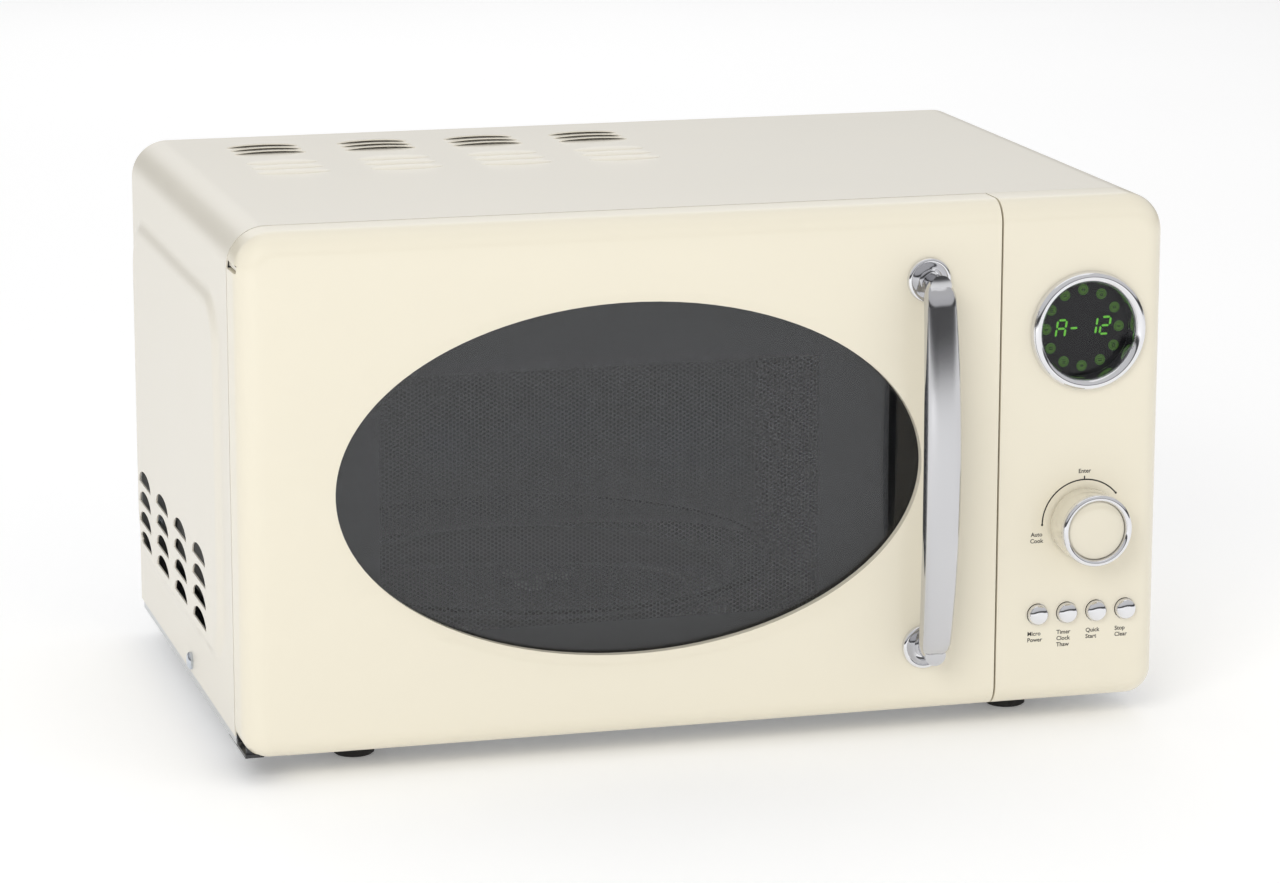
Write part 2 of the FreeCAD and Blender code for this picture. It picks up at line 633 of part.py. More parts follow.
def fan_motor():
    """The fan's shaded pole motor, held by the shroud's arms."""
    core = box("motor_core", ("fan_x - 25", "fan_x + 25"), (100, 116.8), ("fan_z - 28", "fan_z + 28"))
    bore = rod("motor_bore", "+Y", ("fan_x", 98, "fan_z"), "2 + running", 22)
    return node(cut("motor_cut", core, bore), "fan_motor")


def fan_blade():
    """The fan: a hub with five pitched blades, and its shaft in the motor."""
    hub = rod("fan_hub", "+Y", ("fan_x", 124, "fan_z"), 12, 12)
    shaft = rod("fan_shaft", "+Y", ("fan_x", 104, "fan_z"), 2, 24)
    blades = []
    for index in range(5):
        blade = doc.addObject("Part::Box", f"blade_{index}")
        blade.Length, blade.Width, blade.Height = 26, 1.2, 34
        spoke = FreeCAD.Rotation(Vector(0, 1, 0), 72 * index)
        pitch = FreeCAD.Rotation(Vector(0, 0, 1), 22)
        turn = spoke.multiply(pitch)
        hub_middle = Vector(number("fan_x"), 130, number("fan_z"))
        blade.Placement = FreeCAD.Placement(hub_middle + turn.multVec(Vector(-13, -0.6, 9)), turn)
        blades.append(blade)
    return node(fuse("fan", hub, shaft, *blades), "fan_blade")


def cavity_lamp():
    """The lamp and its holder beside the cavity's right wall."""
    holder = box("lamp_holder", (134, 150), (84, 114), (216, 240))
    outline = [(0, 0), (5, 0), (5, 4), (7.6, 8), (8.6, 12), (7.6, 16), (4.6, 19.4), (0, 20.6)]
    bulb = turned("lamp_bulb", "-X", (134.5, 99, 228), outline)
    return node(fuse("lamp", holder, bulb), "cavity_lamp")


def thermal_cutouts():
    """Two snap-disc cut-outs: one on the cavity's roof, one on the magnetron."""
    made = []
    places = [(60, 100, "cavity_roof + cavity_sheet"), (150, 40, 212)]
    for index, (x, y, z) in enumerate(places):
        points = [(0, 0), (8, 0), (8, 6), (6, 6), (6, 12), (0, 12)]
        made.append(turned(f"cutout_{index}", "+Z", (x, y, z), points))
    return node(group("cutouts", made), "thermal_cutouts")


# ---------------------------------------------------------------- turntable


def turntable_motor():
    """The flat synchronous motor under the cavity's floor."""
    can = rod("table_motor_can", "+Z", ("table_x", "table_y", 18), 25, 15)
    ears = box("table_motor_ears", ("table_x - 34", "table_x + 34"), ("table_y - 7", "table_y + 7"),
               (32.6, 35.2))
    bore = rod("table_motor_bore", "+Z", ("table_x", "table_y", 20), "3.5 + running", 20)
    return node(cut("table_motor_cut", fuse("table_motor_fused", can, ears), bore), "turntable_motor")


def turntable_coupler():
    """The three-armed coupler that turns the tray."""
    shaft = rod("coupler_shaft", "+Z", ("table_x", "table_y", 22), 3.5, 17)
    hub = rod("coupler_hub", "+Z", ("table_x", "table_y", 38), 8, 13.2)
    arms = []
    for index in range(3):
        arm = doc.addObject("Part::Box", f"coupler_arm_{index}")
        arm.Length, arm.Width, arm.Height = 19, 7, 6
        turn = FreeCAD.Rotation(Vector(0, 0, 1), 120 * index)
        middle = Vector(number("table_x"), number("table_y"), 45.2)
        arm.Placement = FreeCAD.Placement(middle + turn.multVec(Vector(0, -3.5, 0)), turn)
        arms.append(arm)
    return node(fuse("coupler", shaft, hub, *arms), "turntable_coupler")


def glass_tray():
    """The round glass tray: a flat dish with a raised rim."""
    low = "tray_bottom"
    points = [
        (0, low), ("tray_radius - 26", low), ("tray_radius - 24", "tray_bottom - 0.2"),
        ("tray_radius - 14", "tray_bottom + 3"), ("tray_radius - 3", "tray_rim - 4"),
        ("tray_radius", "tray_rim - 1.5"), ("tray_radius - 0.6", "tray_rim"), ("tray_radius - 3.5",
                                                                               "tray_rim"),
        ("tray_radius - 6.5", "tray_rim - 3"), ("tray_radius - 17", "tray_bottom + tray_thick + 1.6"),
        ("tray_radius - 26", "tray_bottom + tray_thick"), (0, "tray_bottom + tray_thick"),
    ]
    return node(turned("tray", "+Z", ("table_x", "table_y", 0), points), "glass_tray")


WHEEL_ANGLES = [90, 210, 330]


def roller_ring():
    """The ring that carries the roller wheels, with an axle stub for each."""
    height = "cavity_floor + wheel_radius + 0.05"
    outside = rod("ring_outside", "+Z", ("table_x", "table_y", "cavity_floor + 5.3"), "ring_radius + 4",
                  4.5)
    inside = rod("ring_inside", "+Z", ("table_x", "table_y", "cavity_floor + 2"), "ring_radius - 4", 12)
    stubs = []
    for index, angle in enumerate(WHEEL_ANGLES):
        stub = doc.addObject("Part::Cylinder", f"axle_stub_{index}")
        stub.Radius = 2
        bind(stub, "Height", "wheel_track + 5 - ring_radius")
        outward = Vector(math.cos(math.radians(angle)), math.sin(math.radians(angle)), 0)
        middle = Vector(number("table_x"), number("table_y"), number(height))
        stub.Placement = FreeCAD.Placement(middle + outward * number("ring_radius"),
                                           FreeCAD.Rotation(Vector(0, 0, 1), outward))
        stubs.append(stub)
    return node(fuse("roller", cut("ring_cut", outside, inside), *stubs), "roller_ring")


def roller_wheels():
    """Three wheels that run on the cavity's floor and carry the tray."""
    for index, angle in enumerate(WHEEL_ANGLES):
        outward = Vector(math.cos(math.radians(angle)), math.sin(math.radians(angle)), 0)
        middle = Vector(number("table_x"), number("table_y"), number("cavity_floor + wheel_radius + 0.05"))
        points = [("2 + running", -3.5), ("wheel_radius - 1", -3.5), ("wheel_radius", -2.5),
                  ("wheel_radius", 2.5), ("wheel_radius - 1", 3.5), ("2 + running", 3.5)]
        wheel = turned(f"wheel_{index}", "+Z", (0, 0, 0), points)
        wheel.Placement = FreeCAD.Placement(middle + outward * number("wheel_track"),
                                            FreeCAD.Rotation(Vector(0, 0, 1), outward))
        node(wheel, f"roller_wheel_{index + 1}")


# ---------------------------------------------------------------- front mouldings


def front_solid(name, inset, back, bottom_extra):
    """The whole front as one rounded block, or the same block made smaller by an inset."""
    outline = (f"{inset} - half_width", f"half_width - {inset}", f"front_bottom + {inset}",
               f"top - {inset}")
    solid = plate(name, "XZ_Plane", f"0 - ({back})", outline, f"({back}) - face - {inset}",
                  f"front_corner_bottom - {bottom_extra}", f"front_corner_top - {inset}")
    round_edges(solid, doc.getObject(name + "_pad"), lies_on("y", number(f"face + {inset}")),
                f"front_round - {inset}", name + "_round")
    return solid


def front_shell(name, x_range, inner_range, back):
    """One moulding of the front: the part of the rounded block in an x range, hollowed from behind."""
    tall = ("front_bottom - 5", "top + 5")
    outer = front_solid(name + "_solid", "0", back, "0")
    window = box(name + "_span", x_range, ("face - 5", back), tall)
    shell = common(name + "_blank", outer, window)
    inner = front_solid(name + "_core", "plastic", f"{back} + 4", "plastic")
    hollow_span = box(name + "_hollow_span", inner_range, ("face - 5", f"{back} + 6"), tall)
    hollow = common(name + "_hollow", inner, hollow_span)
    return shell, hollow


def door_frame():
    """The cream door moulding with its elliptical window opening and hinge bosses."""
    shell, hollow = front_shell("door_front", ("0 - half_width - 5", "door_right"),
                                ("0 - half_width - 5", "door_right - plastic"), "door_back")
    keep_in = front_solid("door_limit", "0", "door_back", "0")
    bosses = fuse("hinge_bosses",
                  box("upper_boss", ("0 - half_width", "hinge_x + 6"), ("face", "door_back"), (224, 241.8)),
                  box("lower_boss", ("0 - half_width", "hinge_x + 6"), ("face", "door_back"),
                      ("front_bottom", 30)))
    collar = ellipse_block("window_collar", 4, "face + window_recess - 0.2", "face + 1")
    window = ellipse_block("window_hole", 0, "face + 12", "face - 2")
    wide = ellipse_face("bevel_wide", "window_x", "face - 0.01", "window_z",
                        "window_long + window_bevel_long", "window_short + window_bevel_short")
    narrow = ellipse_face("bevel_narrow", "window_x", "face + window_bevel_depth", "window_z",
                          "window_long", "window_short")
    bevel = doc.addObject("Part::Loft", "window_bevel")
    bevel.Sections = [wide, narrow]
    bevel.Solid = True
    screw_posts = [rod(f"handle_post_{index}", "-Y", ("handle_x", "face + 14", height), 6.5, 12)
                   for index, height in enumerate(("handle_upper", "handle_lower"))]
    screw_holes = [rod(f"handle_hole_{index}", "-Y", ("handle_x", "face + 20", height), 2.2, 25)
                   for index, height in enumerate(("handle_upper", "handle_lower"))]
    pin_holes = [
        rod("upper_pin_hole", "+Z", ("hinge_x", "hinge_y", 226), "hinge_pin + running", 20),
        rod("lower_pin_hole", "+Z", ("hinge_x", "hinge_y", "front_bottom - 2"), "hinge_pin + running", 16),
    ]
    arm_slot = box("arm_slot", ("0 - half_width - 2", "hinge_x + 15.5"), ("hinge_y - 5", "door_back + 2"),
                   (241.8, 245.6))
    notch = box("lower_arm_notch", ("0 - half_width - 2", "hinge_x + 16"),
                ("hinge_y - 5.5", "door_back + 2"),
                ("front_bottom - 3", "front_bottom + 2.6"))
    hollow_front = cut("door_hollowed", shell, hollow)
    solid = fuse("door_fused", hollow_front, common("boss_trim", bosses, keep_in), collar, *screw_posts)
    return node(cut("door_cut", solid, window, bevel, *screw_holes, *pin_holes, arm_slot, notch),
                "door_frame")


def door_window():
    """The oval door glass behind the moulding's opening."""
    return node(ellipse_block("window_glass", 6, "face + window_recess + glass", "face + window_recess"),
                "door_window")


def door_choke_frame():
    """The folded steel channel round the screen that chokes the microwaves."""
    outside = plate("choke_outside", "XZ_Plane", 110.4, (-208.5, 118, 24, 246), 13, 10, 10)
    inside = plate("choke_inside", "XZ_Plane", 108, (-184, 93, 48, 222), 18, 6, 6)
    outer_channel = plate("choke_channel", "XZ_Plane", 109, (-206.5, 116, 26, 244), 12.4, 8, 8)
    inner_channel = plate("choke_channel_core", "XZ_Plane", 108, (-189, 98, 43, 227), 16, 8, 8)
    relief = [rod(f"post_relief_{index}", "-Y", ("handle_x", -117, height), 8, 8)
              for index, height in enumerate(("handle_upper", "handle_lower"))]
    channel = cut("choke_groove", outer_channel, inner_channel)
    return node(cut("choke_cut", outside, inside, channel, *relief), "door_choke_frame")


def door_screen():
    """The perforated steel screen behind the glass, welded inside the choke frame."""
    screen = plate("screen_sheet", "XZ_Plane", 112.6, (-183.8, 92.8, 48.2, 221.8), 0.7, 5, 5)
    return node(screen, "door_screen")


def door_inner_sheet():
    """The clear plastic sheet that keeps the screen clean on the cavity's side."""
    clear = plate("clear_sheet", "XZ_Plane", 110.5, (-183.8, 92.8, 48.2, 221.8), 0.5, 5, 5)
    return node(clear, "door_inner_sheet")


def door_choke_cover():
    """The black plastic trim that covers the choke on the door's rear."""
    outside = plate("cover_outside", "XZ_Plane", "0 - door_back", (-223.2, 139, 14.8, 257.6), 1.5, 10, 15.7)
    inside = plate("cover_inside", "XZ_Plane", "0 - door_back - 2", (-180, 89, 52, 218), 8, 10, 10)
    hooks = [box(f"cover_slot_{index}", ("latch_x - 4.5", "latch_x + 4.5"),
                 ("door_back - 4", "door_back + 4"),
                 (f"{height} - 9", f"{height} + 11"))
             for index, height in enumerate(("hook_upper", "hook_lower"))]
    corners = [box(f"cover_corner_{index}", (-230, "hinge_x + 6.3"), ("door_back - 4", "door_back + 4"),
                   heights)
               for index, heights in enumerate(((223.7, 242), ("front_bottom - 1", 30.3)))]
    arm = box("cover_arm_slot", (-230, "hinge_x + 15.5"), ("door_back - 4", "door_back + 4"),
              (241.8, 245.6))
    return node(cut("cover_cut", outside, inside, *hooks, *corners, arm), "door_choke_cover")


def latch_hooks():
    """The sliding latch bar with its two hooks."""
    bar = box("latch_bar", ("latch_x - 3.5", "latch_x + 3.5"), (-119, -114),
              ("hook_lower - 8", "hook_upper + 8"))
    pieces = [bar]
    for index, height in enumerate(("hook_upper", "hook_lower")):
        pieces.append(box(f"hook_arm_{index}", ("latch_x - 1.5", "latch_x + 1.5"), (-115, -86),
                          (f"{height} - 4", f"{height} + 4")))
        pieces.append(box(f"hook_nose_{index}", ("latch_x - 1.5", "latch_x + 1.5"), (-92, -86),
                          (f"{height} - 7", f"{height} + 4")))
    return node(fuse("latch", *pieces), "latch_hooks")


def latch_spring():
    """The close-wound spring that pulls the latch bar down, as a tube of its outer and inner size."""
    start, length = ("latch_x", -116.5, "hook_lower - 29"), 20.8
    coil = rod("spring_outside", "+Z", start, 3.1, length)
    core = rod("spring_inside", "+Z", ("latch_x", -116.5, "hook_lower - 31"), 2.1, length + 4)
    return node(cut("spring", coil, core), "latch_spring")


def handle_bar():
    """The chrome handle: an oval bar, bowed back and slimmer at its ends, on two stems."""
    middle = "(handle_upper + handle_lower) / 2"
    sections = []
    for index in range(9):
        share = index / 4 - 1
        slim = 1 - 0.3 * share ** 4
        outline = doc.addObject("Part::Ellipse", f"bar_section_{index}")
        bind(outline, "MajorRadius", f"handle_wide * {slim}")
        bind(outline, "MinorRadius", f"handle_deep * {slim}")
        place(outline, "handle_x", f"handle_reach + handle_bow * {share ** 2}",
              f"{middle} + handle_half * {share}")
        sections.append(outline)
    bar = doc.addObject("Part::Loft", "handle_bow_loft")
    bar.Sections = sections
    bar.Solid = True
    stems = [rod(f"handle_stem_{index}", "-Y", ("handle_x", "face - 0.1", height), "handle_stem",
                 "face - 0.1 - handle_reach - handle_bow")
             for index, height in enumerate(("handle_upper", "handle_lower"))]
    threads = [rod(f"stem_bore_{index}", "-Y", ("handle_x", "face + 2", height), 1.95, 13)
               for index, height in enumerate(("handle_upper", "handle_lower"))]
    return node(cut("handle_cut", fuse("handle_fused", bar, *stems), *threads), "handle_bar")


def handle_rosettes():
    """Two dished chrome rosettes under the handle's stems."""
    made = []
    for index, height in enumerate(("handle_upper", "handle_lower")):
        points = [("handle_stem + 0.05", 0), ("rosette_radius", 0), ("rosette_radius", 1.2),
                  ("rosette_radius - 1", 2.6), ("rosette_radius - 2.2", 2.6), ("rosette_radius - 4", 1.4),
                  ("handle_stem + 0.05", 1)]
        made.append(turned(f"rosette_{index}", "-Y", ("handle_x", "face", height), points))
    return node(group("rosettes", made), "handle_rosettes")


def handle_screws():
    """Two screws from inside the door into the handle's stems."""
    made = []
    for index, height in enumerate(("handle_upper", "handle_lower")):
        points = [(0, -22), (1.9, -22), (1.9, 0), (4, 0), (4, 1.6), (3, 2.4), (0, 2.4)]
        made.append(turned(f"handle_screw_{index}", "+Y", ("handle_x", "face + 14", height), points))
    return node(group("handle_screw_group", made), "handle_screws")


# ---------------------------------------------------------------- hinges and interlock


def upper_hinge():
    """The upper hinge: an arm through the front plate with a pin down into the door."""
    behind = "plate_front + sheet_steel"
    arm = box("upper_arm", ("hinge_x - 3.4", "hinge_x + 5.5"), ("hinge_y - 3.4", f"{behind} + 0.8"),
              (242.8, 244.6))
    tab = box("upper_tab", ("hinge_x - 3.4", "hinge_x + 9"), (behind, f"{behind} + 0.8"), (228, 244.6))
    pin = rod("upper_pin", "+Z", ("hinge_x", "hinge_y", 229), "hinge_pin", 14.5)
    return node(fuse("upper_hinge_fused", arm, tab, pin), "upper_hinge")


def lower_hinge():
    """The lower hinge: a flat arm under the base plate with a pin up into the door."""
    arm = box("lower_arm", ("hinge_x - 3.4", "hinge_x + 5.5"), ("hinge_y - 3.4", "plate_front + 6"),
              ("base_bottom - 1.6", "base_bottom"))
    foot = box("lower_foot", ("hinge_x - 3.4", "hinge_x + 16"), ("plate_front + 1.2", "plate_front + 24"),
               ("base_bottom - 1.6", "base_bottom"))
    pin = rod("lower_pin", "+Z", ("hinge_x", "hinge_y", "base_bottom - 1"), "hinge_pin", 12)
    return node(fuse("lower_hinge_fused", arm, foot, pin), "lower_hinge")


def interlock_bracket():
    """The plastic bracket behind the front plate that the hooks reach into."""
    low_x, high_x = "latch_x - 9", "latch_x + 11"
    outside = box("bracket_outside", (low_x, high_x), ("plate_front + sheet_steel", -76), (58, 216))
    inside = box("bracket_inside", ("latch_x - 5", "latch_x + 7"), (-110, -79), (62, 212))
    return node(cut("bracket_cut", outside, inside), "interlock_bracket")


def interlock_switches():
    """Three door switches on the interlock bracket."""
    made = []
    for index, height in enumerate(("hook_upper", "hook_upper - 36", "hook_lower")):
        body = box(f"switch_body_{index}", ("latch_x + 11", "latch_x + 21"), (-103, -78),
                   (f"{height} - 8", f"{height} + 8"))
        blades = box(f"switch_blades_{index}", ("latch_x + 14", "latch_x + 18"), (-79, -70),
                     (f"{height} - 6", f"{height} + 6"))
        made.append(fuse(f"switch_{index}", body, blades))
    return node(group("switches", made), "interlock_switches")


# ---------------------------------------------------------------- controls


def control_panel():
    """The cream control panel with openings for the display, the knob and the buttons."""
    left = "door_right + door_gap"
    shell, hollow = front_shell("panel_front", (left, "half_width + 5"),
                                ("door_right + door_gap + plastic", "half_width + 5"), "plate_front")
    posts = [rod(f"board_post_{index}", "-Y", (x, "board_front - 0.1", z), 3.2, 19)
             for index, (x, z) in enumerate(((155, 232), (218, 232), (155, 136), (218, 136), (155, 34),
                                             (218, 34)))]
    holes = [
        rod("bezel_hole", "-Y", ("panel_x", "face + 10", "display_z"), "display_radius + 2.2", 14),
        rod("shaft_clearance", "-Y", ("panel_x", "face + 10", "knob_z"), 5, 14),
    ]
    holes += [rod(f"button_hole_{index}", "-Y", (f"button_first + {index} * button_pitch", "face + 10",
                                                 "button_z"),
                  "button_radius + 0.3", 14) for index in range(4)]
    solid = fuse("panel_fused", cut("panel_hollowed", shell, hollow), *posts)
    return node(cut("panel_cut", solid, *holes), "control_panel")


def control_board():
    """The control board behind the panel."""
    board = box("board_sheet", (148, 221.5), ("board_front", "board_front + board_thick"), (22, 240))
    relay = box("board_relay", (160, 180), ("board_front + board_thick", -95), (150, 178))
    trafo = box("board_transformer", (184, 212), ("board_front + board_thick", -86), (140, 176))
    header = box("board_header", (158, 188), ("board_front + board_thick", -98), (44, 54))
    return node(fuse("board", board, relay, trafo, header), "control_board")


def display_bezel():
    """The chrome ring round the display: a rounded bead with a throat down to the display."""
    points = [("display_radius", -0.4), ("bezel_radius", -0.4), ("bezel_radius + 0.05", 0.6)]
    for step in range(1, 8):
        angle = math.radians(180 * step / 8)
        points.append((f"(bezel_radius + display_radius) / 2 + (bezel_radius - display_radius) / 2 * "
                       f"{math.cos(angle):.5f}", f"0.6 + 3.2 * {math.sin(angle):.5f}"))
    points += [("display_radius", 0.6)]
    bead = turned("bezel_bead", "-Y", ("panel_x", "face - 0.4", "display_z"), points)
    throat_out = rod("throat_outside", "-Y", ("panel_x", "face + 7.4", "display_z"), "display_radius + 2",
                     8)
    throat_in = rod("throat_inside", "-Y", ("panel_x", "face + 8", "display_z"), "display_radius", 12)
    return node(fuse("bezel", bead, cut("throat", throat_out, throat_in)), "display_bezel")


def display_lens():
    """The dark round window of the display."""
    lens = rod("lens", "-Y", ("panel_x", "face + 7.2", "display_z"), "display_radius - 0.1", 1.4)
    return node(lens, "display_lens")


def display_module():
    """The display block on the control board, behind the lens."""
    module = box("module_block", ("panel_x - 22", "panel_x + 22"), ("face + 8", "board_front"),
                 ("display_z - 20", "display_z + 20"))
    return node(module, "display_module")


def encoder_body():
    """The rotary encoder on the board, with its bushing."""
    block = box("encoder_block", ("panel_x - 7", "panel_x + 7"), (-118.5, "board_front"),
                ("knob_z - 7", "knob_z + 7"))
    bushing = rod("encoder_bushing", "-Y", ("panel_x", -118, "knob_z"), 4.4, 8)
    bore = rod("encoder_bore", "-Y", ("panel_x", -113.6, "knob_z"), "shaft_radius + running", 20)
    return node(cut("encoder_cut", fuse("encoder_fused", block, bushing), bore), "encoder_body")


def encoder_plunger():
    """The small plunger behind the shaft that closes the push switch."""
    return node(rod("plunger", "-Y", ("panel_x", -114.6, "knob_z"), 2.6, 1.6), "encoder_plunger")


def knob_shaft():
    """The shaft between the encoder and the knob, with a flat at its outer end."""
    shaft = rod("shaft_round", "-Y", ("panel_x", -116.2, "knob_z"), "shaft_radius", 31)
    flat = box("shaft_flat", ("panel_x - 4", "panel_x + 4"), (-150, -136), ("knob_z + 1.5", "knob_z + 5"))
    return node(cut("shaft_cut", shaft, flat), "knob_shaft")


def knob_body():
    """The cream knob: a hollow cup with a hub for the shaft."""
    start = "face - 1.2"
    points = [("knob_radius - 2.4", 0), ("knob_radius - 0.5", 0), ("knob_radius - 0.2", 0.6),
              ("knob_radius - 0.5", "face - 1.2 - knob_front - 3.5"), (0, "face - 1.2 - knob_front - 3.5"),
              (0, "face - 1.2 - knob_front - 5.5"), ("knob_radius - 2.4", "face - 1.2 - knob_front - 5.5")]
    cup = turned("knob_cup", "-Y", ("panel_x", start, "knob_z"), points)
    hub = rod("knob_hub", "-Y", ("panel_x", "face - 2.4", "knob_z"), 5.2, 13)
    bore = rod("knob_bore", "-Y", ("panel_x", "face + 1", "knob_z"), "shaft_radius", 15.2)
    flat = box("knob_flat", ("panel_x - 4", "panel_x + 4"), (-150, -136), ("knob_z + 1.5", "knob_z + 5"))
    return node(fuse("knob_fused", cut("knob_bored", fuse("knob_cup_hub", cup, hub), bore),
                     common("knob_key", flat, rod("knob_key_rod", "-Y", ("panel_x", -136, "knob_z"),
                                                  "shaft_radius", 10))), "knob_body")


def knob_ring():
    """The chrome ring at the front of the knob."""
    points = [("knob_cap_radius + 0.1", 0), ("knob_radius - 0.4", 0), ("knob_radius", 0.8),
              ("knob_radius", 2.2),
              ("knob_radius - 0.5", 3.1), ("knob_radius - 1.3", 3.5), ("knob_cap_radius + 0.9", 3.5),
              ("knob_cap_radius + 0.1", 2.8)]
    return node(turned("ring_turned", "-Y", ("panel_x", "knob_front + 3.5", "knob_z"), points), "knob_ring")


def knob_cap():
    """The slightly domed cream cap inside the ring."""
    points = [(0, 0), ("knob_cap_radius", 0), ("knob_cap_radius", 2), ("knob_cap_radius - 0.8", 2.6),
              ("knob_cap_radius * 0.7", 3.1), ("knob_cap_radius * 0.35", 3.4), (0, 3.5)]
    return node(turned("cap_turned", "-Y", ("panel_x", "knob_front + 3.5", "knob_z"), points), "knob_cap")


def buttons():
    """Four chrome buttons, each with a retaining collar and a stem down to its switch."""
    for index in range(4):
        points = [(0, -15.6), (2, -15.6), (2, -4.4), ("button_radius + 1.2", -4.4),
                  ("button_radius + 1.2", -3),
                  ("button_radius", -3), ("button_radius", 1.6), ("button_radius * 0.9", 2.4),
                  ("button_radius * 0.65", 3.1), ("button_radius * 0.35", 3.5), (0, 3.7)]
        x = f"button_first + {index} * button_pitch"
        node(turned(f"button_turned_{index}", "-Y", (x, "face - 0.4", "button_z"), points),
             f"button_{index + 1}")


def button_switches():
    """Four small push switches on the board, behind the buttons."""
    made = []
    for index in range(4):
        x = f"button_first + {index} * button_pitch"
        made.append(box(f"tact_{index}", (f"{x} - 3", f"{x} + 3"), ("board_front - 4", "board_front"),
                        ("button_z - 3", "button_z + 3")))
    return node(group("tacts", made), "button_switches")


def check_and_write():
    """Refuses a failed object or a bad shape, then writes every sub-part."""
    doc.recompute()
    for thing in doc.Objects:
        if {"Invalid", "Error"} & set(thing.State):
            raise RuntimeError(f"{thing.Name} failed: {thing.State}")
    labels = [thing.Label for thing in NODES]
    if len(set(labels)) != len(labels) or len(labels) > 60:
        raise RuntimeError("sub-part names are not unique, or there are too many")
    for thing in NODES:
        if thing.Shape.isNull() or not thing.Shape.isValid():
            raise RuntimeError(f"{thing.Label} has no valid shape")
    os.makedirs("parts", exist_ok=True)
    for thing in NODES:
        thing.Shape.exportStep(f"parts/{thing.Label}.step")
        limits = thing.Shape.BoundBox
        print(f"{thing.Label:24s} solids {len(thing.Shape.Solids)} volume {thing.Shape.Volume:10.0f}"
              f"  x {limits.XMin:7.1f} {limits.XMax:7.1f}  y {limits.YMin:7.1f} {limits.YMax:7.1f}"
              f"  z {limits.ZMin:6.1f} {limits.ZMax:6.1f}")


fill_sheet()
outer_wrapper()
wrapper_screws()
base_plate()
feet()
rear_panel()
cord_gland()
front_plate()
cavity_shell()
waveguide()
waveguide_cover()
magnetron_body()
magnetron_fins()
transformer_core()
transformer_windings()
capacitor()
rectifier_diode()
filter_board()
fan_shroud()
fan_motor()
fan_blade()
cavity_lamp()
thermal_cutouts()
turntable_motor()
turntable_coupler()
glass_tray()
roller_ring()
roller_wheels()
door_frame()
door_window()
door_choke_frame()
door_screen()
door_inner_sheet()
door_choke_cover()
latch_hooks()
latch_spring()
handle_bar()
handle_rosettes()
handle_screws()
upper_hinge()
lower_hinge()
interlock_bracket()
interlock_switches()
control_panel()
control_board()
display_bezel()
display_lens()
display_module()
encoder_body()
encoder_plunger()
knob_shaft()
knob_body()
knob_ring()
knob_cap()
buttons()
button_switches()
check_and_write()
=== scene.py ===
"""The looks of a small retro microwave oven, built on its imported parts."""

import json
import math

import bmesh
import bpy
from bpy.props import FloatProperty, FloatVectorProperty, IntProperty, PointerProperty
from mathutils import Matrix, Vector

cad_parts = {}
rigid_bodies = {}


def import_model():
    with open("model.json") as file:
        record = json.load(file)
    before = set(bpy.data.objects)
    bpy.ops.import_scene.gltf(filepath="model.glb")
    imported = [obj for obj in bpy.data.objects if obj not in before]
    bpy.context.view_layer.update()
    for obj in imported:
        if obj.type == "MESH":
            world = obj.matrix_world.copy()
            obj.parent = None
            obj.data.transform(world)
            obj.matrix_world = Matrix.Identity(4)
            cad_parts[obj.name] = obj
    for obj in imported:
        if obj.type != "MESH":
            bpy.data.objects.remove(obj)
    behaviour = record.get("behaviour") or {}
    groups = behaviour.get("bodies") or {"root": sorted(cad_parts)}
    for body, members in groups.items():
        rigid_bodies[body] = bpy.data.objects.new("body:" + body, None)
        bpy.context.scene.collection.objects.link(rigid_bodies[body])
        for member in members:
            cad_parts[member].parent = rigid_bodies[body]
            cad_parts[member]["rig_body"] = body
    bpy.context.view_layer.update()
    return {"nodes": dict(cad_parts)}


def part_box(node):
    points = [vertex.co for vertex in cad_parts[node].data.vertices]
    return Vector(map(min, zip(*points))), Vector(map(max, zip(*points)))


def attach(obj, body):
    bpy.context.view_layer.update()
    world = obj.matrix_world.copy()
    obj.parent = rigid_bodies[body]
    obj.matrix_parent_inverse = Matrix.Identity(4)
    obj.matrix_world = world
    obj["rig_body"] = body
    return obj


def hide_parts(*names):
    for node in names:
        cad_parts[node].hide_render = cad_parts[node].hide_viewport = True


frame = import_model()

bl_info = {
    "name": "Retro Microwave Oven",
    "version": (1, 0, 0),
    "blender": (4, 5, 0),
    "location": "View3D > Sidebar > Oven",
    "description": "Builds the painted, chromed and printed pieces of a small microwave oven",
    "category": "Add Mesh",
}

MM = 0.001
FRONT = (math.radians(90), 0, 0)

# Places on the oven, in millimetres. The frame's parts give the rest.
FIELD_DEPTH, FIELD_HEIGHT = (-88, 159), (42, 226)
FIELD_CORNER, WRAPPER_CORNER = 30, 18.5
SIDE_LOUVRE_Y, SIDE_LOUVRE_Z = 127, 54
SIDE_LOUVRE_STEP_Y, SIDE_LOUVRE_STEP_Z = -52.7, 10.6
LOUVRE_X = (-164.5, -107.6, -51.6, 4.1)
REAR_LOUVRES = (103, 114, 125)
FRONT_LOUVRES = (42, 57.5, 73)
LOUVRE_SHIFT = 2
SCREEN_LEFT, SCREEN_LOW = -157, 62.5
SCREEN_COLUMNS, SCREEN_ROWS = 60, 61
STEM_Z = (45.4, 224.6)
SYMBOL_RING, SYMBOL_COUNT = 18.6, 12
DIAL_RADIUS, DIAL_START, DIAL_SWEEP = 21.3, 180, 140
DIAL_LABEL_ABOVE, DIAL_LABEL_LEFT, DIAL_LABEL_BELOW, DIAL_LABEL_STEP = 24.6, 24.0, 5.6, 3.2
CAPTION_INSET, CAPTION_BELOW, CAPTION_STEP = 1.3, 10.6, 3.1

